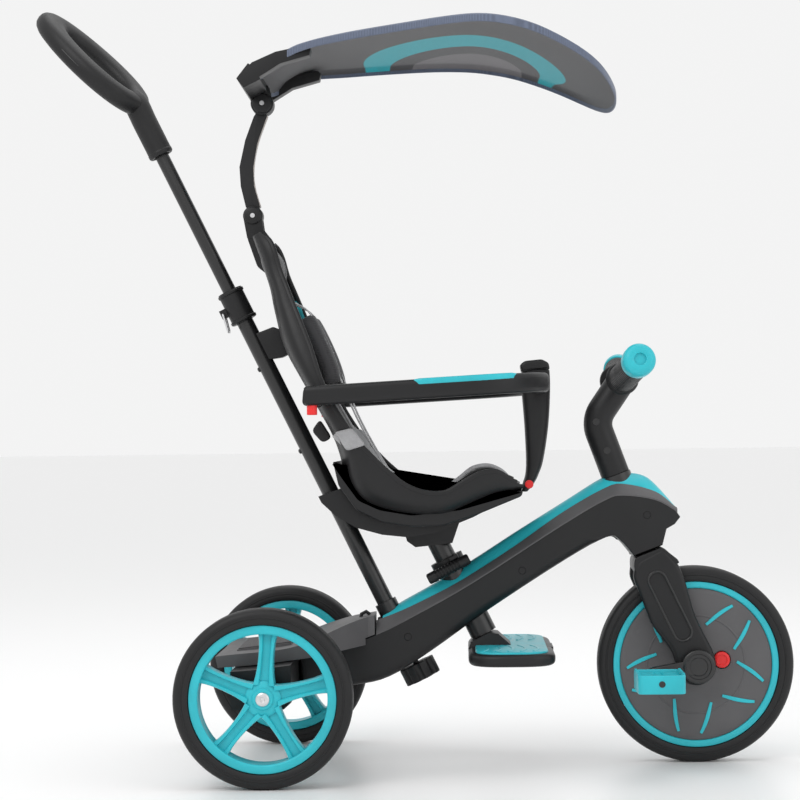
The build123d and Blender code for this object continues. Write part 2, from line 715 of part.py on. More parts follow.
def cranks():
    """Axle through the wheel with one crank each side; the arms point opposite ways."""
    x, z = FRONT_HUB
    inner = LEG_OUTER + 1.5
    outer = inner + CRANK_THICK
    dx = (CRANK_LENGTH**2 - CRANK_DROP**2) ** 0.5
    axle = cross_rod(FRONT_HUB, CRANK_AXLE_RADIUS, -inner - 6, inner)
    for name, side in (("right", -1), ("left", 1)):
        tip = (x + side * dx, z + side * CRANK_DROP)
        low, high = sorted((side * inner, side * outer))
        with BuildPart() as arm:
            add(cross_rod(FRONT_HUB, BOSS_RADIUS, low, high))
            add(cross_rod(tip, 10.0, low, high))
            middle = ((x + tip[0]) / 2, 0, (z + tip[1]) / 2)
            bar = Box(CRANK_LENGTH, CRANK_THICK, 17, mode=Mode.PRIVATE)
            lean = -7.9
            add(Pos(middle[0], (low + high) / 2, middle[2]) * Rot(0, lean, 0) * bar)
            add(cross_rod(tip, SPINDLE_RADIUS, *sorted((side * inner, side * PEDAL_OUTER))))
            add(axle, mode=Mode.SUBTRACT if name == "right" else Mode.ADD)
        save(arm, f"crank_{name}")
        low, high = sorted((side * PEDAL_INNER, side * PEDAL_OUTER))
        with BuildPart() as pedal:
            with Locations((tip[0], (low + high) / 2, tip[1])):
                Box(PEDAL_LENGTH, high - low, PEDAL_HEIGHT)
                for offset_x in (-PEDAL_LENGTH / 4 - 2, PEDAL_LENGTH / 4 + 2):
                    with Locations((offset_x, 0, 3)):
                        Box(PEDAL_LENGTH / 2 - 17, high - low - 20, PEDAL_HEIGHT, mode=Mode.SUBTRACT)
            fillet(pedal.edges().filter_by(Axis.Y).group_by(Axis.Z)[0], 5)
            add(
                cross_rod(tip, SPINDLE_RADIUS + RUN, low - 10, high + 10), mode=Mode.SUBTRACT
            )
        save(pedal, f"pedal_{name}")


# ---- push bar ------------------------------------------------------------------
COLLAR_START = 418.0
COLLAR_LENGTH = 44.0
COLLAR_RADIUS = 16.5
UPPER_START = LOWER_TUBE_LENGTH - UPPER_TUBE_SINK


def push_bar():
    """Telescopic push bar with its collar, clip, foot knob and loop handle."""
    with BuildPart() as lower:
        add(rod(bar_plane, LOWER_TUBE_RADIUS, -BAR_SINK, BAR_SINK + LOWER_TUBE_LENGTH))
        add(
            rod(bar_plane, LOWER_TUBE_RADIUS - LOWER_TUBE_WALL, -BAR_SINK + 20, 600),
            mode=Mode.SUBTRACT,
        )
        add(rod(bar_plane, KNOB_BOLT_RADIUS + RUN, -BAR_SINK - 1, 22), mode=Mode.SUBTRACT)
    save(lower, "push_bar_lower_tube")
    with BuildPart() as collar:
        add(rod(bar_plane, COLLAR_RADIUS, COLLAR_START, COLLAR_LENGTH))
        add(rod(bar_plane, LOWER_TUBE_RADIUS, COLLAR_START - 1, LOWER_TUBE_LENGTH - COLLAR_START + 1),
            mode=Mode.SUBTRACT)
        add(rod(bar_plane, UPPER_TUBE_RADIUS + RUN, COLLAR_START, 60), mode=Mode.SUBTRACT)
        lug = bar_plane.offset(COLLAR_START + 14)
        with BuildSketch(lug):
            with Locations((0, COLLAR_RADIUS + 2)):
                Rectangle(10, 12)
        extrude(amount=12)
        x, z = clip_pivot()
        add(cross_rod((x, z), CLIP_WIRE + RUN, -8, 8), mode=Mode.SUBTRACT)
    save(collar, "push_bar_collar")
    clip_wire()
    with BuildPart() as upper:
        add(rod(bar_plane, UPPER_TUBE_RADIUS, UPPER_START, UPPER_TUBE_SINK + UPPER_TUBE_LENGTH))
        add(rod(bar_plane, UPPER_TUBE_RADIUS - 1.5, UPPER_START - 1, 600), mode=Mode.SUBTRACT)
    save(upper, "push_bar_upper_tube")
    handle()
    with BuildPart() as knob:
        add(rod(bar_plane, KNOB_RADIUS, KNOB_TOP - KNOB_HEIGHT, KNOB_HEIGHT))
        with BuildSketch(bar_plane.offset(KNOB_TOP - KNOB_HEIGHT)):
            with PolarLocations(KNOB_RADIUS + 2, 8):
                Circle(5)
        extrude(amount=KNOB_HEIGHT, mode=Mode.SUBTRACT)
        add(rod(bar_plane, KNOB_BOLT_RADIUS, KNOB_TOP - 1, KNOB_BOLT_LENGTH))
    save(knob, "push_bar_knob")


CLIP_WIRE = 1.6
CLIP_REACH = 24.0


def clip_pivot():
    """Side-view pivot of the wire clip on the collar's rear lug."""
    point = along(BAR_FOOT, BAR_LEAN, COLLAR_START + 20)
    back = COLLAR_RADIUS + 4.5
    return (
        point[0] - back * cos(radians(BAR_LEAN)),
        point[1] - back * sin(radians(BAR_LEAN)),
    )


def clip_wire():
    """Wire loop that flips over behind the collar."""
    x, z = clip_pivot()
    turn = radians(BAR_LEAN)
    foot = (x - 4 * cos(turn) + CLIP_REACH * sin(turn), z - CLIP_REACH * cos(turn) - 4 * sin(turn))
    with BuildPart() as clip:
        with BuildLine():
            path = FilletPolyline(
                (x, 7, z), (x, -9, z), (foot[0], -9, foot[1]), (foot[0], 9, foot[1]),
                (x + 0.01, 9, z + 4), radius=3,
            )
        with BuildSketch(Plane(origin=path @ 0, z_dir=path % 0)):
            Circle(CLIP_WIRE)
        sweep()
    save(clip, "push_bar_clip")


HANDLE_BEND = (-352.0, 866.0)
HANDLE_TIP = (-478.0, 981.0)
HANDLE_TURN = -15.0
LOOP_HALF = 52.0
NECK_RADIUS = 15.5
NECK_LENGTH = 40.0
NECK_OVERLAP = 14.0


def handle():
    """Loop handle: a neck socket on the tube and a long closed ring to hold."""
    slope = (HANDLE_TIP[0] - HANDLE_BEND[0], HANDLE_TIP[1] - HANDLE_BEND[1])
    reach = (slope[0] ** 2 + slope[1] ** 2) ** 0.5
    flat = Plane(
        origin=(
            (HANDLE_BEND[0] + HANDLE_TIP[0]) / 2, 0, (HANDLE_BEND[1] + HANDLE_TIP[1]) / 2
        ),
        x_dir=(slope[0], 0, slope[1]),
        z_dir=(slope[1], 0, -slope[0]),
    )
    neck = along(BAR_FOOT, BAR_LEAN, LOWER_TUBE_LENGTH + UPPER_TUBE_LENGTH - NECK_OVERLAP)
    knee = along(neck, BAR_LEAN, NECK_LENGTH)
    rise = (HANDLE_BEND[0] - knee[0], 0, HANDLE_BEND[1] - knee[1])
    with BuildPart() as grip:
        with BuildSketch(flat.offset(-HANDLE_ROD)):
            Ellipse(reach / 2 + HANDLE_ROD, LOOP_HALF + HANDLE_ROD)
            Ellipse(reach / 2 - HANDLE_ROD, LOOP_HALF - HANDLE_ROD, mode=Mode.SUBTRACT)
        extrude(amount=2 * HANDLE_ROD)
        chamfer(edges().filter_by(GeomType.ELLIPSE), HANDLE_ROD / 2)
        add(rod(Plane(origin=(neck[0], 0, neck[1]), z_dir=bar_plane.z_dir), NECK_RADIUS, 0, NECK_LENGTH))
        with Locations((knee[0], 0, knee[1])):
            Sphere(NECK_RADIUS + GAP)
        add(rod(Plane(origin=(knee[0], 0, knee[1]), z_dir=rise), NECK_RADIUS - GAP, 0, Vector(*rise).length))
        add(
            rod(bar_plane, UPPER_TUBE_RADIUS, 0, LOWER_TUBE_LENGTH + UPPER_TUBE_LENGTH),
            mode=Mode.SUBTRACT,
        )
    with BuildPart() as turned_grip:
        add(grip.part.rotate(Axis(bar_plane.origin, bar_plane.z_dir), HANDLE_TURN))
    save(turned_grip, "push_handle")


# ---- seat ----------------------------------------------------------------------
BACK_TOP = (-204.0, 686.0)
SEAT_BACK = [
    BACK_TOP, (-190.9, 645.4), (-180.7, 617.7), (-176.0, 592.0), (-164.5, 544.6),
    (-143.9, 505.5), (-121.9, 466.2), (-100.5, 425.7), (-90.0, 395.0), (-88.0, 358.0),
    (-71.0, 338.0), (-40.0, 327.0), (0.0, 321.0), (40.0, 322.0), (80.0, 334.0),
    (139.0, 355.0),
]
SEAT_EDGE = [
    (142.0, 364.0), (128.7, 368.0), (116.0, 379.4), (98.7, 382.0), (77.0, 375.5),
    (48.8, 358.5), (29.3, 353.4), (12.0, 356.8), (-13.8, 369.0), (-39.5, 392.0),
    (-67.3, 420.0), (-88.0, 452.0), (-112.6, 497.0), (-123.5, 532.0), (-142.3, 579.4),
    (-158.0, 626.5), (-169.0, 655.7), (-176.0, 680.0), (-185.0, 688.0),
]
SEAT_BED = [
    (-198.0, 710.0), (-184.0, 646.0), (-174.5, 618.0), (-170.0, 592.0), (-158.0, 546.0),
    (-137.5, 508.0), (-115.5, 469.0), (-94.5, 430.0), (-83.5, 397.0), (-81.0, 362.0),
    (-67.0, 345.0), (-38.0, 334.0), (0.0, 328.0), (40.0, 329.0), (78.0, 340.0),
    (150.0, 366.0), (150.0, 720.0), (-198.0, 720.0),
]
TRAY_UNDER = [
    (-120.0, 352.0), (-116.0, 344.0), (-98.0, 327.0), (-72.0, 311.6), (-39.0, 302.4),
    (-5.5, 298.7), (28.0, 304.0), (77.0, 323.3), (138.0, 354.0),
]
TRAY_HALF = 88.0
POST_BLOCK = [(-13, 306), (-9, 291), (2, 283), (50, 288), (62, 322), (28, 330)]
BLOCK_HALF = 24.0
LINER_HALF = SEAT_HALF - SEAT_WALL - 8.0
LINER_THICK = 11.0
STRAP_Y = (34.0, 59.0)
BRACKET_HALF = 21.0
CLAMP_WALL = 4.5
CLAMP_HEIGHT = 10.0
LEVER_Y = -33.0
LEVER_RADIUS = 7.5
LEVER_REAR = (17.5, 241.0)
LEVER_FRONT = (72.0, 268.5)


def seat():
    """Bucket shell, under-tray, post, liner, pads, harness and bar bracket."""
    filled = plate(SEAT_BACK + SEAT_EDGE, -SEAT_HALF, SEAT_HALF)
    bed = plate(SEAT_BED, SEAT_WALL - SEAT_HALF, SEAT_HALF - SEAT_WALL)
    with BuildPart() as shell:
        add(filled)
        add(mast())
        add(bed, mode=Mode.SUBTRACT)
        for side in (-1, 1):
            ear = sorted((side * (SEAT_HALF - 2), side * (RING_HALF - RING_THICK - GAP)))
            pin = sorted((side * (SEAT_HALF - 2), side * (RING_HALF - 6 - GAP)))
            add(plate(RING_EAR, *ear, 6))
            add(cross_rod(RING_PLUG, RING_PLUG_RADIUS, *pin))
    save(shell, "seat_shell")
    post_bore = rod(post_plane, POST_RADIUS, -200, 400)
    bar_space = rod(bar_plane, LOWER_TUBE_RADIUS + GAP, 0, 500)
    with BuildPart() as tray:
        add(plate(TRAY_UNDER + [(138, 372), (-60, 372)], -TRAY_HALF, TRAY_HALF))
        add(plate(POST_BLOCK, -BLOCK_HALF, BLOCK_HALF))
        add(filled, mode=Mode.SUBTRACT)
        add(post_bore, mode=Mode.SUBTRACT)
        add(bar_space, mode=Mode.SUBTRACT)
    save(largest(tray), "seat_under_tray")
    with BuildPart() as post:
        add(rod(post_plane, POST_RADIUS, POST_FOOT, 50 - POST_FOOT))
        add(filled, mode=Mode.SUBTRACT)
        add(rod(post_plane, POST_RADIUS - 2, POST_FOOT - 1, 60), mode=Mode.SUBTRACT)
    save(largest(post), "seat_post")
    with BuildPart() as bracket:
        add(
            plate(
                [(-232, 556), (-209, 570), (-181, 574), (-166, 536), (-160, 520), (-195, 534),
                 (-218, 524)],
                -BRACKET_HALF, BRACKET_HALF,
            )
        )
        add(filled, mode=Mode.SUBTRACT)
        add(bed, mode=Mode.SUBTRACT)
        add(bar_space, mode=Mode.SUBTRACT)
    save(largest(bracket), "seat_back_bracket")
    soft_goods()


def soft_goods():
    """Liner, headrest pad, shoulder pads, straps and buckle."""
    with BuildPart() as liner:
        add(plate(SEAT_BED, -LINER_HALF, LINER_HALF))
        add(
            Pos(LINER_THICK, 0, LINER_THICK) * plate(SEAT_BED, -SEAT_HALF, SEAT_HALF),
            mode=Mode.SUBTRACT,
        )
        with Locations((-20, 0, 470)):
            Box(290, 2 * SEAT_HALF, 318, mode=Mode.INTERSECT)
    save(liner, "seat_liner")
    with BuildPart() as pad:
        add(
            plate(
                [(-190, 686), (-178, 690), (-166, 668), (-160, 642), (-166, 633), (-176, 633)],
                -68, 68, 4,
            )
        )
    save(pad, "headrest_pad")
    low, high = STRAP_Y
    strap = plate(
        [(-150, 603), (-127, 592), (-90, 512), (-21, 366), (-23, 365), (-92, 511),
         (-129, 590), (-151, 601)],
        -high + 3, -low - 3,
    )
    with BuildPart() as straps:
        add(strap)
        mirror(strap, about=Plane.XZ)
    with BuildPart() as pads:
        pad = plate(
            [(-136, 578), (-124, 588), (-117, 579), (-105.6, 557), (-94.4, 531), (-87.4, 503),
             (-99, 499), (-110, 526), (-121, 552)],
            -high, -low,
        )
        add(pad)
        mirror(pad, about=Plane.XZ)
        add(straps.part, mode=Mode.SUBTRACT)
    save(pads, "shoulder_pads")
    with BuildPart() as buckle:
        with Locations((-3, 0, 364)):
            Box(36, 2 * low + 10, 18)
        fillet(buckle.edges().filter_by(Axis.Z), 8)
        add(straps.part, mode=Mode.SUBTRACT)
    save(buckle, "harness_buckle")
    with BuildPart() as harness:
        add(straps.part)
        with Locations((6, 0, 348)):
            Box(3, 30, 14)
    save(harness, "harness_straps")


MAST_HUB = (-206.2, 719.2)
CANOPY_HUB = (-192.4, 866.5)
MAST_HUB_RADIUS = 13.0
CANOPY_HUB_RADIUS = 15.0
EAR_THICK = 5.0
EAR_INNER = ARM_THICK / 2 + GAP


def clevis_ears(hub, radius):
    """Two round ears beside a hinge, with the pin's hole."""
    with BuildPart() as ears:
        for side in (-1, 1):
            low, high = sorted((side * EAR_INNER, side * (EAR_INNER + EAR_THICK)))
            add(cross_rod(hub, radius, low, high))
    return ears.part


def mast():
    """Clevis on top of the seat back that carries the canopy arm."""
    half = EAR_INNER + EAR_THICK
    with BuildPart() as stub:
        add(plate([(-222, 650), (-190, 650), (-196, 719), (-216, 719), (-222, 700)], -half, half))
        add(
            cross_rod(MAST_HUB, MAST_HUB_RADIUS + 3, -EAR_INNER, EAR_INNER),
            mode=Mode.SUBTRACT,
        )
        add(clevis_ears(MAST_HUB, MAST_HUB_RADIUS))
        add(
            cross_rod(MAST_HUB, HINGE_PIN_RADIUS + RUN, -half - 1, half + 1), mode=Mode.SUBTRACT
        )
    return stub.part


# ---- canopy --------------------------------------------------------------------
ARM_REAR = [
    MAST_HUB, (-215.7, 731.0), (-222.1, 758.6), (-223.5, 783.9), (-215.6, 819.1),
    (-204.0, 850.0), CANOPY_HUB,
]
ARM_FRONT = [
    CANOPY_HUB, (-186.5, 850.6), (-199.6, 815.5), (-205.5, 783.6), (-204.5, 758.3),
    (-197.0, 731.3), MAST_HUB,
]
CANOPY_LINE = [
    (-136.0, 927.0), (-88.0, 934.0), (-20.0, 941.0), (50.0, 946.5), (100.0, 946.0),
    (150.0, 936.0), (200.0, 915.5), (240.0, 892.0), (270.0, 866.0),
]
CANOPY_PLAN = [
    (-136.0, 122.0), (-88.0, 148.0), (11.0, 180.0), (90.0, 210.0), (130.0, CANOPY_HALF),
    (179.0, 207.0), (235.0, 172.0), (262.0, 100.0), (270.0, 0.0),
]
BRACKET_Y = (96.0, 118.0)


def canopy():
    """Arm, folding bracket and the sheet it carries."""
    half = ARM_THICK / 2
    outer = EAR_INNER + EAR_THICK
    with BuildPart() as arm:
        add(plate(ARM_REAR + ARM_FRONT[1:-1], -half, half))
        add(cross_rod(MAST_HUB, MAST_HUB_RADIUS, -half, half))
        add(cross_rod(CANOPY_HUB, CANOPY_HUB_RADIUS, -half, half))
        for hub in (MAST_HUB, CANOPY_HUB):
            add(cross_rod(hub, HINGE_PIN_RADIUS, -half - 1, half + 1), mode=Mode.SUBTRACT)
    save(arm, "canopy_arm")
    with BuildPart() as pins:
        for hub in (MAST_HUB, CANOPY_HUB):
            add(cross_rod(hub, HINGE_PIN_RADIUS, -outer - 2, outer + 2))
    save(pins, "canopy_hinge_pins")
    low, high = BRACKET_Y
    with BuildPart() as bracket:
        add(plate([(-216, 884), (-207, 872), (-186, 882), (-188, 895), (-201, 903)], -high, high))
        for side in (-1, 1):
            add(
                plate(
                    [(-214, 886), (-196, 904), (-166, 917), (-126, 925), (-121, 921),
                     (-123, 912), (-160, 902), (-186, 886), (-206, 873)],
                    *sorted((side * low, side * high)),
                )
            )
        add(
            cross_rod(CANOPY_HUB, CANOPY_HUB_RADIUS + 3, -EAR_INNER, EAR_INNER),
            mode=Mode.SUBTRACT,
        )
        for side in (-1, 1):
            add(
                plate([(-206, 866), (-179, 866), (-184, 890), (-208, 890)],
                      *sorted((side * EAR_INNER, side * outer)))
            )
        add(clevis_ears(CANOPY_HUB, CANOPY_HUB_RADIUS))
        add(cross_rod(CANOPY_HUB, HINGE_PIN_RADIUS + RUN, -30, 30), mode=Mode.SUBTRACT)
    save(bracket, "canopy_bracket")
    lifted = [(x, z - CANOPY_SHEET) for x, z in CANOPY_LINE]
    with BuildPart() as sheet:
        ends = [[CANOPY_LINE[-1], lifted[-1]], lifted[::-1], [lifted[0], CANOPY_LINE[0]]]
        add(curved_plate([CANOPY_LINE] + ends, -CANOPY_HALF - 5, CANOPY_HALF + 5))
        with BuildSketch(Plane.XY.offset(800)):
            with BuildLine():
                Spline(*CANOPY_PLAN, *[(x, -y) for x, y in CANOPY_PLAN[-2::-1]])
                Line((CANOPY_PLAN[0][0], -CANOPY_PLAN[0][1]), CANOPY_PLAN[0])
            make_face()
        extrude(amount=200, mode=Mode.INTERSECT)
        add(bracket.part, mode=Mode.SUBTRACT)
    save(largest(sheet), "canopy_sheet")


# ---- safety ring ---------------------------------------------------------------
RING_REAR = -131.0
RING_EAR = [(-146, 454), (-112, 454), (-106, 492), (-140, 492)]
RING_PLUG = (-121.0, 481.5)
RING_PLUG_RADIUS = 5.0
RING_RISE = 2.9
RING_LEVEL = 466.5
RING_CORNER = 95.0
INLAY_DEPTH = 2.0
INLAY_WIDTH = 13.0
INLAY_START = 138.0
INLAY_TURN = 30.0
POST_REAR = [(143.0, 486.0), (146.1, 440.0), (147.7, 395.0), (146.5, 376.0), (143.5, 366.0)]
POST_FRONT = [
    (141.5, 353.5), (149.0, 354.0), (161.0, 368.0), (170.3, 394.6), (177.6, 439.6),
    (180.5, 484.7), (180.0, 512.0), (143.0, 509.0),
]
POST_HALF = 17.0
CAP_OUTLINE = [
    (143, 509), (180, 512), (178.6, 521), (169.7, 526), (147.2, 524), (141, 519),
]
REAR_BUTTON = (-122.5, RING_HALF - RING_THICK / 2)
REAR_BUTTON_RADIUS = 6.5
FRONT_BUTTON = (151.0, 363.0)
FRONT_BUTTON_RADIUS = 5.5
BUTTON_TRAVEL = 3.0
ring_plane = Plane(
    origin=(RING_REAR, 0, RING_LEVEL),
    x_dir=(cos(radians(RING_RISE)), 0, sin(radians(RING_RISE))),
    z_dir=(-sin(radians(RING_RISE)), 0, cos(radians(RING_RISE))),
)


def rail_solid(half, rear, front, corner, low, high):
    """U outline's filled shape, from a start to a front end, between two levels."""
    with BuildPart() as solid:
        with BuildSketch(ring_plane.offset(low)):
            with Locations(((rear + front) / 2, 0)):
                Rectangle(front - rear, 2 * half)
            fillet(vertices().group_by(Axis.X)[-1], corner)
        extrude(amount=high - low)
    return solid.part


def rail_inlays(low, high):
    """Two coloured bands set in the rail's top, running into the front corners."""
    outer = RING_HALF - (RING_THICK - INLAY_WIDTH) / 2
    length = RING_FRONT - RING_REAR - (RING_THICK - INLAY_WIDTH) / 2
    corner = RING_CORNER - (RING_THICK - INLAY_WIDTH) / 2
    with BuildPart() as bands:
        add(rail_solid(outer, INLAY_START, length, corner, low, high))
        add(
            rail_solid(
                outer - INLAY_WIDTH, -10, length - INLAY_WIDTH, corner - INLAY_WIDTH,
                low - 1, high + 1,
            ),
            mode=Mode.SUBTRACT,
        )
        with Locations((RING_FRONT, 0, RING_LEVEL)):
            Box(400, 2 * (RING_HALF - INLAY_TURN), 200, mode=Mode.SUBTRACT)
    return bands.part


def rear_button(clearance, top):
    """Upright button under a rail end, on the right."""
    with BuildPart() as solid:
        with BuildSketch(Plane.XY.offset(RING_LEVEL - 11)):
            with Locations((REAR_BUTTON[0], -REAR_BUTTON[1])):
                Circle(REAR_BUTTON_RADIUS + clearance)
        extrude(amount=top)
    return solid.part


def safety_ring():
    """U-shaped rail with its front post, coloured bands, cap and release buttons."""
    length = RING_FRONT - RING_REAR
    front = sorted((-POST_HALF - 2, -POST_HALF + 8))
    with BuildPart() as ring:
        add(rail_solid(RING_HALF, 0, length, RING_CORNER, 0, RING_HEIGHT))
        add(
            rail_solid(
                RING_HALF - RING_THICK, -40, length - RING_THICK, RING_CORNER - RING_THICK,
                -1, RING_HEIGHT + 1,
            ),
            mode=Mode.SUBTRACT,
        )
        add(rail_inlays(RING_HEIGHT - INLAY_DEPTH, RING_HEIGHT + 5), mode=Mode.SUBTRACT)
        add(plate(POST_REAR + POST_FRONT, -POST_HALF, POST_HALF))
        for side in (-1, 1):
            pin = sorted((side * (RING_HALF - RING_THICK - 5), side * (RING_HALF - 6)))
            add(cross_rod(RING_PLUG, RING_PLUG_RADIUS + RUN, *pin), mode=Mode.SUBTRACT)
            with Locations(
                (RING_PLUG[0] - 20, side * (RING_HALF - 6 - RING_THICK / 2), RING_PLUG[1])
            ):
                Box(40, RING_THICK, 2 * (RING_PLUG_RADIUS + RUN), mode=Mode.SUBTRACT)
        bore = rear_button(RUN, 20)
        add(bore, mode=Mode.SUBTRACT)
        add(mirror(bore, about=Plane.XZ, mode=Mode.PRIVATE), mode=Mode.SUBTRACT)
        add(
            cross_rod(FRONT_BUTTON, FRONT_BUTTON_RADIUS + RUN, *front), mode=Mode.SUBTRACT
        )
    save(ring, "safety_ring")
    with BuildPart() as inlays:
        add(rail_inlays(RING_HEIGHT - INLAY_DEPTH, RING_HEIGHT + 1))
    save(inlays, "ring_inlays")
    with BuildPart() as button:
        add(rear_button(0, 16))
    save_pair(button, "ring_button")
    with BuildPart() as button:
        add(
            cross_rod(FRONT_BUTTON, FRONT_BUTTON_RADIUS, front[0] - 2, front[1] - BUTTON_TRAVEL - 1)
        )
    save(button, "ring_button_front")
    with BuildPart() as cap:
        add(plate(CAP_OUTLINE, -POST_HALF - 1, POST_HALF + 1))
    save(cap, "ring_post_cap")


# ---- footrest ------------------------------------------------------------------
PLATE_LEVEL = 138.5
PLATE_MIDDLE = 124.0
PLATE_LENGTH = 110.0
PLUG_LENGTH = 18.0
BRACKET_OUTLINE = [
    (74, 165), (94, 172), (108, 170), (126, 154), (170, 153), (178, 150), (167, 143),
    (134, 138.5), (100, 138), (78, 142), (70, 152),
]


def footrest():
    """Plug-in bracket with one wide foot platform and its pad."""
    with BuildPart() as bracket:
        add(plate(BRACKET_OUTLINE, -FOOTREST_HALF / 5, FOOTREST_HALF / 5))
        with BuildSketch(Plane.XY.offset(PLATE_LEVEL)):
            with Locations((PLATE_MIDDLE, 0)):
                Rectangle(PLATE_LENGTH, 2 * FOOTREST_HALF)
            fillet(vertices(), 30)
        extrude(amount=PLATE_THICK)
        with BuildSketch(footrest_plane.offset(-FOOT_SOCKET - GAP)):
            Rectangle(120, 200)
        extrude(amount=80, mode=Mode.SUBTRACT)
        add(rod(footrest_plane, PLUG_RADIUS, -FOOT_SOCKET - 10, 10 + PLUG_LENGTH))
    save(bracket, "footrest_bracket")
    with BuildPart() as pad:
        with BuildSketch(Plane.XY.offset(PLATE_LEVEL + PLATE_THICK)):
            with Locations((PLATE_MIDDLE + 4, 0)):
                Rectangle(PLATE_LENGTH - 14, 2 * FOOTREST_HALF - 14)
            fillet(vertices(), 26)
        extrude(amount=3)
        add(bracket.part, mode=Mode.SUBTRACT)
        add(plate(BRACKET_OUTLINE, -FOOTREST_HALF, FOOTREST_HALF), mode=Mode.SUBTRACT)
    save(largest(pad), "footrest_pad")


POST_FOOT = SLEEVE_BOTTOM + SEAT_TRAVEL + 14


def seat_clamp():
    """Clamp ring on the sleeve's top, its bolt and its quick-release lever."""
    with BuildPart() as clamp:
        add(rod(post_plane, SLEEVE_RADIUS + CLAMP_WALL, SLEEVE_TOP, CLAMP_HEIGHT))
        lug = post_plane.offset(SLEEVE_TOP)
        with BuildSketch(lug):
            with Locations((-SLEEVE_RADIUS - 5, -10)):
                Rectangle(22, 12)
        extrude(amount=CLAMP_HEIGHT)
        add(rod(post_plane, POST_RADIUS + RUN, SLEEVE_TOP - 1, 40), mode=Mode.SUBTRACT)
        add(lever_rod(LEVER_RADIUS + GAP, 8), mode=Mode.SUBTRACT)
    save(largest(clamp), "seat_clamp")
    with BuildPart() as lever:
        add(lever_rod(LEVER_RADIUS, 0))
    save(lever, "seat_clamp_lever")


def lever_rod(radius, extra):
    """Round lever that lies beside the clamp, along the frame's slope."""
    run = (LEVER_FRONT[0] - LEVER_REAR[0], 0, LEVER_FRONT[1] - LEVER_REAR[1])
    length = (run[0] ** 2 + run[2] ** 2) ** 0.5
    plane = Plane(
        origin=(LEVER_REAR[0], LEVER_Y, LEVER_REAR[1]), x_dir=(0, 1, 0), z_dir=run
    )
    return rod(plane, radius, -extra, length + 2 * extra)


# ---- build everything ----------------------------------------------------------
steel_chassis()
frame_shells()
covers = frame_covers()
rear_deck(covers)
rear_wheels()
front_wheel()
steering()
handlebar()
cranks()
push_bar()
seat()
seat_clamp()
canopy()
safety_ring()
footrest()
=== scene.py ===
"""Children's push-along tricycle: the finished look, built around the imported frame.

Lengths in this file are millimetres unless a name ends in _M. Meshes are written in
metres in the frame's own axes: +X forwards, +Y the rider's left, +Z up.
"""

import json
from math import atan2, cos, hypot, pi, radians, sin

import bmesh
import bpy
from mathutils import Matrix, Vector


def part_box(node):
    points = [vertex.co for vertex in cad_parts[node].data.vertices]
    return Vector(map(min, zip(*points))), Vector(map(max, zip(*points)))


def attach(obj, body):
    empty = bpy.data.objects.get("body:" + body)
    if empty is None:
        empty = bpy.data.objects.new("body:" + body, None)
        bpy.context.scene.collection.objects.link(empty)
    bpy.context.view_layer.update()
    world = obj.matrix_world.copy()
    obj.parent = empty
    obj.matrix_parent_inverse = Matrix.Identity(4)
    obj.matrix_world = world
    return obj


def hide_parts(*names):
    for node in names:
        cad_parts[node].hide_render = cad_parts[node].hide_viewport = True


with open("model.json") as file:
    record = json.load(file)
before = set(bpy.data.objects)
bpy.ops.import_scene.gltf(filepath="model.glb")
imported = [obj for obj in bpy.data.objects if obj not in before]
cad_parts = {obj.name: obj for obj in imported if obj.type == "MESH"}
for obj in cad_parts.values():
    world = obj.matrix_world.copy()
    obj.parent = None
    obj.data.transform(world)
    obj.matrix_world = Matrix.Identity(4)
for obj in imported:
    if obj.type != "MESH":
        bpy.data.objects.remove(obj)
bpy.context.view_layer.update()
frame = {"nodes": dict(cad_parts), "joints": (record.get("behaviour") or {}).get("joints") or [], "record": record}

bl_info = {
    "name": "Push-along tricycle",
    "version": (1, 0, 0),
    "blender": (4, 5, 0),
    "location": "View3D > Sidebar > Tricycle",
    "description": "Makes the finished pieces of a children's tricycle",
    "category": "Add Mesh",
}

MM = 0.001
RECORD = frame["record"]
JOINTS = {joint["name"]: joint for joint in frame["joints"]}
BODY_OF = {
    node: body
    for body, nodes in RECORD["behaviour"]["bodies"].items()
    for node in nodes
}
SMOOTH_ANGLE = radians(34)


# ---- places read from the frame --------------------------------------------------
def box(node):
    """Lowest and highest corner of a CAD node, in millimetres."""
    low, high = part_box(node)
    return low / MM, high / MM


def middle(node):
    """Centre of a CAD node's box, in millimetres."""
    low, high = box(node)
    return (low + high) / 2


def pivot(joint):
    """A joint's point, in millimetres."""
    return Vector(JOINTS[joint]["pos_m"]) / MM


def axis_of(joint):
    """A joint's direction."""
    return Vector(JOINTS[joint]["axis"]).normalized()


FRONT_HUB = middle("front_tyre")
REAR_HUB = middle("rear_tyre_right")
FRONT_RADIUS = box("front_tyre")[1].z - FRONT_HUB.z
REAR_RADIUS = box("rear_tyre_right")[1].z - REAR_HUB.z
TYRE_HALF = box("front_tyre")[1].y
BAR_AXIS = axis_of("push_bar_telescope")
BAR_FOOT = pivot("push_bar_knob_turn")
STEER_AXIS = axis_of("steer")
STEER_TOP = pivot("steer")


# ---- outlines and sections -------------------------------------------------------
def curve(points, per=6):
    """Smooth line through (a, b) points, with a few steps between each two."""
    line = []
    for i in range(len(points) - 1):
        before = points[max(i - 1, 0)]
        start, end = points[i], points[i + 1]
        after = points[min(i + 2, len(points) - 1)]
        for k in range(per):
            t = k / per
            line.append(tuple(
                0.5 * (2 * q + (r - p) * t + (2 * p - 5 * q + 4 * r - s) * t * t
                       + (3 * q - p - 3 * r + s) * t ** 3)
                for p, q, r, s in zip(before, start, end, after)
            ))
    line.append(tuple(points[-1]))
    return line


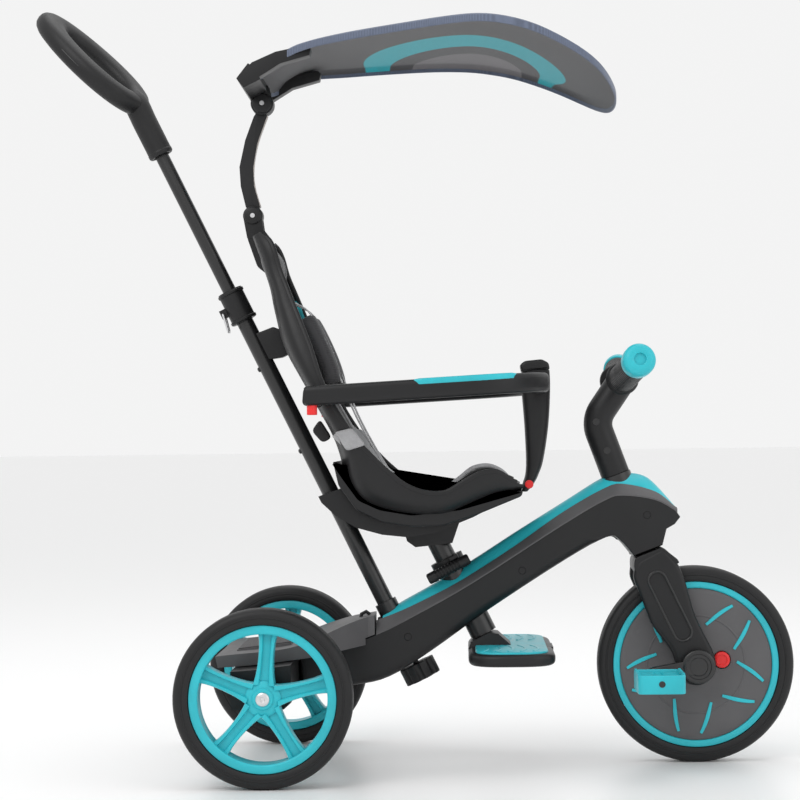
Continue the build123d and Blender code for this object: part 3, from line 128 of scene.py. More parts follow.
def softened(outline, radius, steps=4):
    """Closed outline with each corner rounded off."""
    line = []
    count = len(outline)
    for i, corner in enumerate(outline):
        corner = Vector(corner)
        before, after = Vector(outline[i - 1]), Vector(outline[(i + 1) % count])
        cut = min(radius, (before - corner).length * 0.45, (after - corner).length * 0.45)
        start = corner + (before - corner).normalized() * cut
        end = corner + (after - corner).normalized() * cut
        for k in range(steps + 1):
            t = k / steps
            line.append(tuple(start * (1 - t) ** 2 + corner * 2 * t * (1 - t) + end * t * t))
    return line


def shrunk(outline, amounts):
    """Closed outline moved inwards, each point by its own amount."""
    count = len(outline)
    area = sum(
        outline[i - 1][0] * outline[i][1] - outline[i][0] * outline[i - 1][1]
        for i in range(count)
    )
    turn = 1 if area > 0 else -1
    moved = []
    for i, (a, b) in enumerate(outline):
        before, after = outline[i - 1], outline[(i + 1) % count]
        run_in = Vector((a - before[0], b - before[1]))
        run_out = Vector((after[0] - a, after[1] - b))
        if run_in.length < 1e-6:
            run_in = run_out
        if run_out.length < 1e-6:
            run_out = run_in
        run = run_in.normalized() + run_out.normalized()
        run = run.normalized() if run.length > 1e-6 else run_in.normalized()
        moved.append((a - turn * run.y * amounts[i], b + turn * run.x * amounts[i]))
    return moved


def circle_section(radius, count=24):
    """Round section as (side, up) pairs."""
    return [
        (radius * cos(2 * pi * k / count), radius * sin(2 * pi * k / count))
        for k in range(count)
    ]


def block_section(width, height, radius, steps=3):
    """Section of a bar with rounded corners."""
    a, b = width / 2, height / 2
    return softened([(-a, -b), (a, -b), (a, b), (-a, b)], radius, steps)


# ---- mesh making -----------------------------------------------------------------
def loft(rings, closed=False):
    """Vertices and faces that join rings of equal length."""
    count = len(rings[0])
    verts = [point for ring in rings for point in ring]
    faces = []
    for i in range(len(rings) if closed else len(rings) - 1):
        a, b = i * count, (i + 1) % len(rings) * count
        for j in range(count):
            k = (j + 1) % count
            faces.append((a + j, a + k, b + k, b + j))
    if not closed:
        faces.append(tuple(reversed(range(count))))
        faces.append(tuple(range(len(verts) - count, len(verts))))
    return verts, faces


def slab(outline, low, high, radius=2.0, steps=4, radii=None):
    """Plate with a side-view outline between two y values and rounded edges."""
    depth = max(radii) if radii else radius
    depth = min(depth, (high - low) / 2)
    radii = radii or [depth] * len(outline)
    rings = []
    for side in (0, 1):
        for k in range(steps + 1):
            a = pi / 2 * (k if side == 0 else steps - k) / steps
            inset = [min(r, depth) * (1 - sin(a)) for r in radii]
            step_in = depth * (1 - cos(a))
            y = low + step_in if side == 0 else high - step_in
            rings.append([(p, y, q) for p, q in shrunk(outline, inset)])
    return loft(rings)


def sweep(path, section, up=(0, 1, 0), closed=False, scales=None):
    """Section carried along a path of points; section pairs are (side, up)."""
    path = [Vector(point) for point in path]
    up = Vector(up)
    rings = []
    for i, point in enumerate(path):
        if closed:
            run = path[(i + 1) % len(path)] - path[i - 1]
        else:
            run = path[min(i + 1, len(path) - 1)] - path[max(i - 1, 0)]
        run.normalize()
        side = run.cross(up).normalized()
        lift = side.cross(run)
        grow = scales[i] if scales else (1, 1)
        rings.append([
            tuple(point + side * a * grow[0] + lift * b * grow[1]) for a, b in section
        ])
    return loft(rings, closed)


def lathe(profile, hub, segments=96):
    """Closed (y, radius) profile turned about the Y line through hub."""
    rings = []
    for k in range(segments):
        a = 2 * pi * k / segments
        rings.append([
            (hub[0] + r * sin(a), hub[1] + y, hub[2] + r * cos(a)) for y, r in profile
        ])
    return loft(rings, closed=True)


def spun(profile, origin, axis, segments=48):
    """Closed (distance, radius) profile turned about any axis."""
    axis = Vector(axis).normalized()
    side = axis.orthogonal().normalized()
    other = axis.cross(side)
    rings = []
    for k in range(segments):
        a = 2 * pi * k / segments
        rings.append([
            tuple(Vector(origin) + axis * d + (side * cos(a) + other * sin(a)) * r)
            for d, r in profile
        ])
    return loft(rings, closed=True)


def joined(*parts):
    """Several (vertices, faces) parts as one."""
    verts, faces = [], []
    for part_verts, part_faces in parts:
        start = len(verts)
        verts += part_verts
        faces += [tuple(start + i for i in face) for face in part_faces]
    return verts, faces


def mirrored(part):
    """The left-hand twin of a right-hand part."""
    verts, faces = part
    return [(x, -y, z) for x, y, z in verts], [tuple(reversed(face)) for face in faces]


def both_sides(part):
    """A right-hand part with its left-hand twin."""
    return joined(part, mirrored(part))


def solid(name, part, smooth=SMOOTH_ANGLE):
    """Blender object from a part, with outward faces and smooth shading."""
    verts, faces = part
    mesh = bpy.data.meshes.new(name)
    mesh.from_pydata([Vector(v) * MM for v in verts], [], faces)
    shape = bmesh.new()
    shape.from_mesh(mesh)
    bmesh.ops.remove_doubles(shape, verts=shape.verts, dist=2e-6)
    bmesh.ops.dissolve_degenerate(shape, edges=shape.edges, dist=1e-6)
    bmesh.ops.recalc_face_normals(shape, faces=shape.faces)
    shape.to_mesh(mesh)
    shape.free()
    shade(mesh, smooth)
    piece = bpy.data.objects.new(name, mesh)
    bpy.context.scene.collection.objects.link(piece)
    return piece


def shade(mesh, angle=SMOOTH_ANGLE):
    """Smooth shading with crisp edges past an angle."""
    mesh.shade_smooth()
    mesh.set_sharp_from_angle(angle=angle)


def settled(piece):
    """Applies a piece's modifiers and leaves a plain mesh."""
    graph = bpy.context.evaluated_depsgraph_get()
    graph.update()
    mesh = bpy.data.meshes.new_from_object(piece.evaluated_get(graph), depsgraph=graph)
    piece.modifiers.clear()
    piece.data = mesh
    return piece


def carved(piece, *parts):
    """Cuts parts out of a piece."""
    for part in parts:
        tool = solid("carving_tool", part)
        step = piece.modifiers.new("Cut", "BOOLEAN")
        step.operation = "DIFFERENCE"
        step.solver = "EXACT"
        step.object = tool
        settled(piece)
        bpy.data.objects.remove(tool)
    shade(piece.data)
    return piece


def refined(node, bevel=1.2, segments=3):
    """Copy of a CAD node with its edges rounded, for the node's own place."""
    piece = frame["nodes"][node].copy()
    piece.data = piece.data.copy()
    piece.name = f"{node}_finished"
    for key in [k for k in piece.keys() if k.startswith("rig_")]:
        del piece[key]
    piece.parent = None
    bpy.context.scene.collection.objects.link(piece)
    shape = bmesh.new()
    shape.from_mesh(piece.data)
    bmesh.ops.remove_doubles(shape, verts=shape.verts, dist=1e-6)
    bmesh.ops.dissolve_limit(
        shape, angle_limit=radians(0.6), verts=shape.verts, edges=shape.edges
    )
    sharp = [
        edge for edge in shape.edges
        if len(edge.link_faces) == 2 and edge.calc_face_angle(0) > radians(38)
    ]
    if bevel and sharp:
        bmesh.ops.bevel(
            shape, geom=sharp, offset=bevel * MM, segments=segments, profile=0.6,
            affect="EDGES", clamp_overlap=True,
        )
    bmesh.ops.dissolve_degenerate(shape, edges=shape.edges, dist=1e-6)
    shape.to_mesh(piece.data)
    shape.free()
    shade(piece.data)
    return piece


def thickened(piece, amount):
    """Grows a piece by an amount all over."""
    normals = [vertex.normal.copy() for vertex in piece.data.vertices]
    for vertex, normal in zip(piece.data.vertices, normals):
        vertex.co += normal * amount * MM
    return piece


def tablet(outline, low, high, radius=2.0, steps=4):
    """Plate with a plan outline between two heights and rounded edges."""
    verts, faces = slab(outline, low, high, radius, steps)
    return [(x, q, z) for x, z, q in verts], faces


def publish(piece, body, finish, *nodes):
    """Gives a finished piece its material in a slot and its body, and hides the nodes it stands for."""
    piece.data.materials.clear()
    piece.data.materials.append(material(finish))
    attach(piece, body)
    if nodes:
        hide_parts(*nodes)
    return piece


# ---- geometry nodes --------------------------------------------------------------
def copies_tree(name):
    """Tree that repeats a piece along a line and round the Y axis."""
    tree = bpy.data.node_groups.new(name, "GeometryNodeTree")
    sockets = (
        ("Piece", "NodeSocketObject"), ("Count", "NodeSocketInt"),
        ("Step", "NodeSocketVector"), ("Turn", "NodeSocketFloat"),
        ("Centre", "NodeSocketVector"), ("Finish", "NodeSocketMaterial"),
    )
    for label, kind in sockets:
        tree.interface.new_socket(label, in_out="INPUT", socket_type=kind)
    tree.interface.new_socket("Geometry", in_out="OUTPUT", socket_type="NodeSocketGeometry")
    nodes, links = tree.nodes, tree.links
    given = nodes.new("NodeGroupInput")
    line = nodes.new("GeometryNodeMeshLine")
    line.mode = "OFFSET"
    source = nodes.new("GeometryNodeObjectInfo")
    order = nodes.new("GeometryNodeInputIndex")
    angle = nodes.new("ShaderNodeMath")
    angle.operation = "MULTIPLY"
    turn = nodes.new("ShaderNodeCombineXYZ")
    place = nodes.new("GeometryNodeInstanceOnPoints")
    shift = nodes.new("GeometryNodeTransform")
    real = nodes.new("GeometryNodeRealizeInstances")
    paint = nodes.new("GeometryNodeSetMaterial")
    out = nodes.new("NodeGroupOutput")
    links.new(given.outputs["Count"], line.inputs["Count"])
    links.new(given.outputs["Step"], line.inputs["Offset"])
    links.new(given.outputs["Piece"], source.inputs["Object"])
    links.new(order.outputs[0], angle.inputs[0])
    links.new(given.outputs["Turn"], angle.inputs[1])
    links.new(angle.outputs[0], turn.inputs["Y"])
    links.new(line.outputs["Mesh"], place.inputs["Points"])
    links.new(source.outputs["Geometry"], place.inputs["Instance"])
    links.new(turn.outputs[0], place.inputs["Rotation"])
    links.new(place.outputs["Instances"], shift.inputs["Geometry"])
    links.new(given.outputs["Centre"], shift.inputs["Translation"])
    links.new(shift.outputs["Geometry"], real.inputs["Geometry"])
    links.new(real.outputs["Geometry"], paint.inputs["Geometry"])
    links.new(given.outputs["Finish"], paint.inputs["Material"])
    links.new(paint.outputs["Geometry"], out.inputs["Geometry"])
    return tree


def copies(name, part, count, finish, centre=(0, 0, 0), step=(0, 0, 0), turn=0.0):
    """Plain mesh of a part repeated by the copies tree."""
    source = solid(f"{name}_source", part)
    tree = bpy.data.node_groups.get("Copies") or copies_tree("Copies")
    piece = bpy.data.objects.new(name, bpy.data.meshes.new(name))
    bpy.context.scene.collection.objects.link(piece)
    repeat = piece.modifiers.new("Copies", "NODES")
    repeat.node_group = tree
    values = {
        "Piece": source, "Count": count, "Step": tuple(v * MM for v in step),
        "Turn": turn, "Centre": tuple(v * MM for v in centre), "Finish": material(finish),
    }
    for item in tree.interface.items_tree:
        if item.in_out == "INPUT":
            repeat[item.identifier] = values[item.name]
    settled(piece)
    bpy.data.objects.remove(source)
    shade(piece.data)
    return piece


def merged(name, *pieces):
    """One mesh from several loose pieces."""
    shape = bmesh.new()
    for piece in pieces:
        shape.from_mesh(piece.data)
    mesh = bpy.data.meshes.new(name)
    shape.to_mesh(mesh)
    shape.free()
    shade(mesh)
    for piece in pieces:
        bpy.data.objects.remove(piece)
    whole = bpy.data.objects.new(name, mesh)
    bpy.context.scene.collection.objects.link(whole)
    return whole


class Graph:
    """Small helper that adds and joins a material's nodes."""

    def __init__(self, name):
        self.material = bpy.data.materials.new(name)
        self.material.use_nodes = True
        self.tree = self.material.node_tree
        self.shader = self.tree.nodes["Principled BSDF"]
        self.place = self.add("ShaderNodeTexCoord").outputs["Object"]

    def add(self, kind, **values):
        node = self.tree.nodes.new(kind)
        for key, value in values.items():
            setattr(node, key, value)
        return node

    def join(self, start, end):
        self.tree.links.new(start, end)

    def noise(self, scale, detail=2.0):
        node = self.add("ShaderNodeTexNoise")
        node.inputs["Scale"].default_value = scale
        node.inputs["Detail"].default_value = detail
        self.join(self.place, node.inputs["Vector"])
        return node.outputs["Fac"]

    def waves(self, direction, pitch):
        """Parallel bands of a pitch in millimetres along one axis."""
        node = self.add("ShaderNodeTexWave", bands_direction=direction)
        node.inputs["Scale"].default_value = 2 * pi / 20 / (pitch * MM)
        node.inputs["Distortion"].default_value = 0.3
        node.inputs["Detail"].default_value = 1.0
        self.join(self.place, node.inputs["Vector"])
        return node.outputs["Fac"]

    def sum(self, first, second, operation="ADD"):
        node = self.add("ShaderNodeMath", operation=operation)
        self.join(first, node.inputs[0])
        if isinstance(second, (int, float)):
            node.inputs[1].default_value = second
        else:
            self.join(second, node.inputs[1])
        return node.outputs[0]

    def spread(self, value, low, high, start=0.3, end=0.7):
        """Value from start..end mapped to low..high."""
        node = self.add("ShaderNodeMapRange")
        for label, number in (
            ("From Min", start), ("From Max", end), ("To Min", low), ("To Max", high)
        ):
            node.inputs[label].default_value = number
        self.join(value, node.inputs["Value"])
        return node.outputs["Result"]

    def mix(self, factor, first, second):
        """Colour between two colours; either may be a socket."""
        node = self.add("ShaderNodeMix", data_type="RGBA")
        self.join(factor, node.inputs[0])
        for socket, colour in ((node.inputs[6], first), (node.inputs[7], second)):
            if isinstance(colour, bpy.types.NodeSocket):
                self.join(colour, socket)
            else:
                socket.default_value = (*colour, 1)
        return node.outputs[2]

    def bump(self, height, depth, strength=1.0, under=None):
        node = self.add("ShaderNodeBump")
        node.inputs["Strength"].default_value = strength
        node.inputs["Distance"].default_value = depth * MM
        self.join(height, node.inputs["Height"])
        if under is not None:
            self.join(under, node.inputs["Normal"])
        return node.outputs["Normal"]

    def finish(self, colour, roughness, normal, **constants):
        self.join(colour, self.shader.inputs["Base Color"])
        self.join(roughness, self.shader.inputs["Roughness"])
        self.join(normal, self.shader.inputs["Normal"])
        for label, number in constants.items():
            self.shader.inputs[label.replace("_", " ")].default_value = number
        return self.material


def tinted(colour, factor):
    return tuple(min(1.0, c * factor) for c in colour)


def moulded(name, colour, roughness, grain=0.5, depth=0.02, **constants):
    """Moulded plastic, rubber or paint: a fine grain under a broad, faint mottle."""
    graph = Graph(name)
    broad = graph.noise(16, 4)
    fine = graph.noise(1000 / (grain * 2), 3)
    scuffs = graph.noise(95, 6)
    shade_of = graph.mix(
        graph.spread(broad, 0, 1), tinted(colour, 0.9), tinted(colour, 1.1)
    )
    worn = graph.mix(
        graph.spread(scuffs, 0, 0.25, 0.62, 0.85), shade_of, tinted(colour, 1.5)
    )
    rough = graph.sum(
        graph.spread(broad, roughness - 0.04, roughness + 0.04),
        graph.spread(scuffs, 0, 0.08, 0.5, 0.8),
    )
    return graph.finish(worn, rough, graph.bump(fine, depth), **constants)


def woven(name, colour, pitch, directions=("X", "Y"), sheen=0.25, pattern=None):
    """Woven cloth: two sets of threads that cross, with slubs and soft folds."""
    graph = Graph(name)
    first, second = (graph.waves(way, pitch) for way in directions)
    weave = graph.sum(first, second, "MAXIMUM")
    slubs = graph.noise(260, 4)
    folds = graph.noise(9, 3)
    base = pattern(graph) if pattern else graph.mix(
        graph.spread(folds, 0, 1), tinted(colour, 0.92), tinted(colour, 1.08)
    )
    dyed = graph.mix(graph.spread(weave, 0.45, 0, 0.2, 0.9), base, (0.0, 0.0, 0.0))
    thread = graph.mix(graph.spread(slubs, 0, 0.2), dyed, tinted(colour, 1.6))
    normal = graph.bump(folds, 1.5, 0.5)
    normal = graph.bump(weave, 0.25, 0.8, normal)
    return graph.finish(
        thread, graph.spread(slubs, 0.82, 0.95), normal,
        Sheen_Weight=sheen, Sheen_Roughness=0.4,
    )


def brushed(name, colour, roughness):
    """Plated steel with fine drawn lines."""
    graph = Graph(name)
    lines = graph.waves("Z", 0.35)
    stains = graph.noise(40, 4)
    tone = graph.mix(graph.spread(stains, 0, 1), tinted(colour, 0.85), colour)
    return graph.finish(
        tone, graph.spread(stains, roughness - 0.05, roughness + 0.08),
        graph.bump(lines, 0.01, 0.5), Metallic=1.0,
    )


def canopy_print(graph):
    """Turquoise arc and pale disc printed on the canopy's cloth."""
    sizes = bpy.context.scene.tricycle_sizes
    colours = bpy.context.scene.tricycle_colours
    tone = (*colours.cloth,)
    dark = graph.mix(graph.spread(graph.noise(9, 3), 0, 1), tinted(tone, 0.94), tinted(tone, 1.06))
    parts = graph.add("ShaderNodeSeparateXYZ")
    graph.join(graph.place, parts.inputs[0])

    def inside(radius, shift):
        """One inside a circle on the cloth, zero outside it."""
        across = graph.sum(parts.outputs["X"], -sizes.print_x * MM)
        along = graph.sum(parts.outputs["Y"], -(sizes.print_y + shift) * MM)
        square = graph.sum(
            graph.sum(across, across, "MULTIPLY"), graph.sum(along, along, "MULTIPLY")
        )
        edge = (radius * MM) ** 2
        return graph.spread(square, 1, 0, edge * 0.985, edge * 1.015)

    band = graph.mix(inside(sizes.print_radius, 0), dark, (*colours.turquoise,))
    gap = graph.mix(inside(sizes.print_radius * 0.76, 52), band, dark)
    return graph.mix(inside(sizes.print_radius * 0.58, 78), gap, (0.2, 0.19, 0.2))


def material(finish):
    """The named finish, made on first use."""
    if finish in bpy.data.materials:
        return bpy.data.materials[finish]
    colours = bpy.context.scene.tricycle_colours
    black, grey = (*colours.black,), (*colours.grey,)
    turquoise, cloth = (*colours.turquoise,), (*colours.cloth,)
    makers = {
        "black shell": lambda n: moulded(
            n, tinted(black, 0.8), 0.4, 0.5, 0.012, Specular_IOR_Level=0.32
        ),
        "grey shell": lambda n: moulded(
            n, tinted(grey, 0.85), 0.5, 0.5, 0.015, Specular_IOR_Level=0.3
        ),
        "dark grey disc": lambda n: moulded(
            n, tinted(grey, 0.9), 0.55, 0.7, 0.02, Specular_IOR_Level=0.3
        ),
        "turquoise": lambda n: moulded(
            n, turquoise, 0.36, 0.8, 0.006, Specular_IOR_Level=0.3, Coat_Weight=0.08
        ),
        "red": lambda n: moulded(
            n, (*colours.red,), 0.32, 0.8, 0.006, Specular_IOR_Level=0.35
        ),
        "tyre": lambda n: moulded(
            n, tinted(black, 0.7), 0.5, 0.9, 0.03, Specular_IOR_Level=0.35
        ),
        "grip": lambda n: moulded(
            n, tinted(black, 0.7), 0.45, 0.6, 0.03, Specular_IOR_Level=0.35
        ),
        "black tube": lambda n: moulded(
            n, tinted(black, 0.6), 0.3, 1.2, 0.008, Coat_Weight=0.2, Coat_Roughness=0.25
        ),
        "bright steel": lambda n: brushed(n, (0.7, 0.7, 0.71), 0.28),
        "pale trim": lambda n: moulded(n, (0.55, 0.5, 0.47), 0.6, 0.6, 0.02),
        "canopy cloth": lambda n: woven(n, cloth, 1.1, pattern=canopy_print),
        "canopy hem": lambda n: woven(n, (0.13, 0.155, 0.22), 1.1),
        "liner cloth": lambda n: woven(n, tinted(cloth, 0.55), 1.6, ("Y", "Z"), 0.35),
        "pad cloth": lambda n: woven(n, tinted(cloth, 0.7), 2.2, ("Y", "Z"), 0.3),
        "piping": lambda n: woven(n, (0.4, 0.4, 0.41), 1.0, ("X", "Z")),
        "turquoise cloth": lambda n: woven(n, tinted(turquoise, 0.8), 1.4, ("Y", "Z"), 0.2),
        "webbing": lambda n: woven(n, (0.42, 0.42, 0.43), 1.8, ("Y", "Z"), 0.15),
    }
    return makers[finish](finish)


# ---- settings --------------------------------------------------------------------
def length(label, text, default):
    """A length setting in millimetres."""
    return bpy.props.FloatProperty(name=label, description=text, default=default)


def colour(label, default):
    """A colour setting."""
    return bpy.props.FloatVectorProperty(
        name=label, description=f"{label} of the finish", default=default,
        subtype="COLOR", size=3, min=0, max=1,
    )


class TricycleSizes(bpy.types.PropertyGroup):
    edge: length("Edge rounding", "Rounding on moulded edges, in mm", 1.4)
    fork_edge: length("Fork rounding", "Rounding on the fork's legs, in mm", 6.0)
    frame_edge: length("Frame rounding", "Rounding under the frame, in mm", 12.0)
    print_x: length("Print centre X", "Centre of the canopy print along X, in mm", 74.0)
    print_y: length("Print centre Y", "Centre of the canopy print along Y, in mm", 132.0)
    print_radius: length("Print radius", "Outer radius of the printed arc, in mm", 138.0)
    hem_width: length("Hem width", "Width of the canopy's bound edge, in mm", 9.0)
    puff: length("Padding swell", "Most that a pad may swell, in mm", 7.0)
    spokes: bpy.props.IntProperty(
        name="Rear spokes", description="Spokes in each rear wheel", default=5, min=3
    )
    slashes: bpy.props.IntProperty(
        name="Disc marks", description="Pairs of raised marks on a front disc", default=5
    )


class TricycleColours(bpy.types.PropertyGroup):
    black: colour("Black", (0.0155, 0.0155, 0.0165))
    grey: colour("Grey", (0.115, 0.113, 0.117))
    turquoise: colour("Turquoise", (0.03, 0.47, 0.545))
    red: colour("Red", (0.78, 0.03, 0.03))
    cloth: colour("Cloth", (0.082, 0.081, 0.086))


# ---- frame body ------------------------------------------------------------------
FRAME_HALF = box("frame_top_cover")[1].y
STRIP_HALF = 22.5
SHELL_TOP = [
    (-150, 148), (-97.5, 157.6), (-47.8, 173.2), (2.1, 197.5), (76.8, 238.7),
    (193.9, 312.4), (247.6, 342.9), (271.4, 348.8), (312.7, 342.9), (339.1, 328.5),
]
SHELL_NOSE = [(345.5, 319), (338, 309.5), (327.5, 303.5), (322, 282.5)]
SHELL_UNDER = [
    (284, 268.5), (266, 289.5), (249.3, 293.4), (194.9, 264.3), (96.1, 201.5),
    (21.3, 149.1), (-33.6, 116.2), (-78.3, 105.5), (-150, 96),
]
COVER_TOP = [
    (-50, 189), (-15.6, 202), (26.9, 222), (64.5, 242), (127, 281), (195, 327.5),
    (249, 357.5), (272.9, 362.5), (314.5, 352), (341, 331),
]
STRIP_TOP = [
    (-42, 194.6), (-19.9, 209.7), (29.3, 236.8), (82.4, 268.8), (132.9, 300.8),
    (195.9, 339.4), (245.8, 369.6), (270, 375.8), (295.4, 374.3), (313.2, 363.6),
    (341, 332),
]
STATIONS = 72
COVER_DEPTH = 7.0


def height_at(line, x):
    """Height of a side-view line at x."""
    for (x0, z0), (x1, z1) in zip(line, line[1:]):
        if x0 <= x <= x1:
            return z0 + (z1 - z0) * (x - x0) / max(x1 - x0, 1e-6)
    return line[-1][1] if x > line[-1][0] else line[0][1]


def saddle(start, end, section):
    """Lofted cover from x start to x end; section(x) gives its (y, z) outline."""
    rings = []
    for k in range(STATIONS + 1):
        x = start + (end - start) * (0.5 - 0.5 * cos(pi * k / STATIONS))
        rings.append([(x, y, z) for y, z in section(x)])
    return loft(rings)


def rod_part(node, grow):
    """Cutting rod round a leaning tube's box line, from the frame's joints."""
    origin = {"seat_post": Vector((35, 0, 280)), "push_bar_lower_tube": BAR_FOOT}[node]
    radius = {"seat_post": 14.0, "push_bar_lower_tube": 11.0}[node] + grow
    return spun([(-90, 0.01), (-90, radius), (90, radius), (90, 0.01)], origin, BAR_AXIS)


class TRICYCLE_OT_frame_body(bpy.types.Operator):
    """Black frame halves, grey saddle cover and turquoise top strip"""

    bl_idname = "tricycle.frame_body"
    bl_label = "Frame body"

    def execute(self, context):
        sizes = context.scene.tricycle_sizes
        holes = [rod_part("seat_post", 4.2), rod_part("push_bar_lower_tube", 4.2)]
        top, under = curve(SHELL_TOP, 4), curve(SHELL_UNDER, 4)
        outline = top + SHELL_NOSE + under
        radii = [2.0] * len(top) + [2.0] * (len(SHELL_NOSE) + 10)
        radii += [sizes.frame_edge] * (len(outline) - len(radii))
        whole = slab(outline, -FRAME_HALF, FRAME_HALF, radii=radii, steps=6)
        shells = carved(solid("frame_shells", whole), *holes)
        publish(shells, "frame", "black shell", "frame_shell_left", "frame_shell_right")
        seam = sweep(
            [(x, 0, z - 0.3) for x, z in curve(SHELL_UNDER[1:], 6)],
            block_section(1.6, 1.2, 0.3), up=(0, 1, 0),
        )
        publish(solid("frame_seam", seam), "frame", "black shell")
        shell_line, cover_line, strip_line = (
            curve(line, 8) for line in (SHELL_TOP, COVER_TOP, STRIP_TOP)
        )

        def cover_section(x):
            """Sloping shoulders between the black side and the top strip."""
            side = height_at(shell_line, x) + 0.4
            shoulder = max(height_at(cover_line, x), side + 0.6)
            half = FRAME_HALF - 0.5
            right = [
                (-half, side - COVER_DEPTH), (-half, side), (-half + 1.0, side + 1.0),
                (-(half + STRIP_HALF) / 2, (side + shoulder) / 2 + 1.6),
                (-STRIP_HALF - 1.5, shoulder - 0.2), (-STRIP_HALF, shoulder - 1.0),
                (-STRIP_HALF + 2, shoulder - 3.0),
            ]
            return right + [(-y, z) for y, z in reversed(right)]

        def strip_section(x):
            """Crowned strip along the middle."""
            edge = height_at(cover_line, x) - 0.5
            crown = max(height_at(strip_line, x), edge + 0.8)
            half = STRIP_HALF - 0.5
            arch = []
            for k in range(13):
                t = -1 + 2 * k / 12
                lift = (1 - abs(t) ** 2.3) * (crown - edge)
                arch.append((half * t, edge + lift))
            return [(-half, edge - COVER_DEPTH)] + arch + [(half, edge - COVER_DEPTH)]

        cover = solid("saddle_cover", saddle(COVER_TOP[0][0], COVER_TOP[-1][0], cover_section))
        publish(carved(cover, *holes), "frame", "grey shell", "frame_top_cover")
        strip = solid("top_strip", saddle(STRIP_TOP[0][0], STRIP_TOP[-1][0], strip_section))
        publish(carved(strip, *holes), "frame", "turquoise", "frame_top_strip")
        self.screws()
        return {"FINISHED"}

    def screws(self):
        """Cross-headed screws sunk in both sides."""
        for spot in ((140, 252), (-9, 168), (302, 322)):
            for side in (-1, 1):
                y = side * (FRAME_HALF + 0.1)
                cup = [(0, 0.01), (0, 5.0), (side * 0.5, 4.6), (side * -1.2, 3.6),
                       (side * -1.2, 0.01)]
                part = lathe(cup, (spot[0], y, spot[1]), 28)
                slots = copies(
                    f"screw_slots_{side}_{spot[0]}",
                    slab([(-2.6, -0.5), (2.6, -0.5), (2.6, 0.5), (-2.6, 0.5)],
                         *sorted((y - side * 1.4, y - side * 0.6)), 0.1, 1),
                    2, "bright steel", centre=(spot[0], 0, spot[1]), turn=pi / 2,
                )
                bezel = solid(f"screw_{side}_{spot[0]}", part)
                publish(bezel, "frame", "black shell")
                publish(slots, "frame", "bright steel")
        hide = solid("screw_bosses", joined(*[
            lathe([(-1, 0.01), (-1, 3.4), (1, 3.4), (1, 0.01)],
                  (x, side * (FRAME_HALF - 2.4), z), 20)
            for x, z in ((140, 252), (-9, 168), (302, 322), (222, 300))
            for side in (-1, 1)
        ]))
        publish(hide, "frame", "bright steel", "frame_screws")


class TRICYCLE_OT_rear_deck(bpy.types.Operator):
    """Ribbed step deck, the axle cover under it and the small hook"""

    bl_idname = "tricycle.rear_deck"
    bl_label = "Rear deck"

    def execute(self, context):
        edge = context.scene.tricycle_sizes.edge
        publish(refined("rear_step_deck", edge), "frame", "grey shell", "rear_step_deck")
        publish(refined("rear_axle_cover", edge), "frame", "black shell", "rear_axle_cover")
        rib = slab(
            softened([(-34, -0.9), (34, -0.9), (34, 0.9), (-34, 0.9)], 0.8, 2), -2.2, 2.2, 0.8, 2
        )
        lean = radians(-7)
        turned = [(x * cos(lean) - z * sin(lean), y, z - x * sin(lean)) for x, y, z in rib[0]]
        deck_mid = Vector((-192, -72, 162.4))
        ribs = copies(
            "deck_ridges", (turned, rib[1]), 13, "grey shell", centre=deck_mid, step=(0, 12, 0)
        )
        publish(ribs, "frame", "grey shell")
        hook = sweep(
            [(-72, -6, 186), (-70, -6, 196), (-64, -6, 199), (-59, -6, 195)],
            circle_section(2.4, 12), up=(0, 1, 0),
        )
        publish(solid("deck_hook", hook), "frame", "black shell")
        return {"FINISHED"}


# ---- wheels ----------------------------------------------------------------------
TYRE_DEPTH = 20.0
RIM_HALF = 17.0
FRONT_SEAT = FRONT_RADIUS - TYRE_DEPTH
REAR_SEAT = REAR_RADIUS - TYRE_DEPTH


def tyre_profile(radius):
    """Tyre section as (y, radius): bead, wall with a raised line, rounded tread."""
    seat = radius - TYRE_DEPTH
    half = TYRE_HALF - 0.4
    wall = [
        (RIM_HALF - 1, seat + 0.3), (half - 1.6, seat + 1.2), (half - 0.2, seat + 4),
        (half, seat + 7.2), (half - 0.3, seat + 8.2), (half + 0.3, seat + 8.8),
        (half + 0.3, seat + 9.8), (half - 0.5, seat + 10.4),
    ]
    shoulder = [
        (half - 0.5 - 8.5 * (1 - cos(a)), radius - 9 + 8.6 * sin(a))
        for a in (radians(10 * k) for k in range(1, 9))
    ]
    tread = [(12.5, radius), (9.4, radius), (8.9, radius - 1.6), (7.3, radius - 1.6),
             (6.8, radius), (1.2, radius), (0.8, radius - 1.4)]
    right = wall + shoulder + tread
    return right + [(-y, r) for y, r in reversed(right)]


def rim_lip(radius, width, depth, half):
    """Closed (y, radius) section of a rim ring with rounded lips."""
    outer, inner = radius, radius - width
    return softened([
        (-half, outer), (half, outer), (half, inner + 2), (half - 1.5, inner),
        (half - depth, inner + 0.5), (depth - half, inner + 0.5), (1.5 - half, inner),
        (-half, inner + 2),
    ], 1.0, 2)


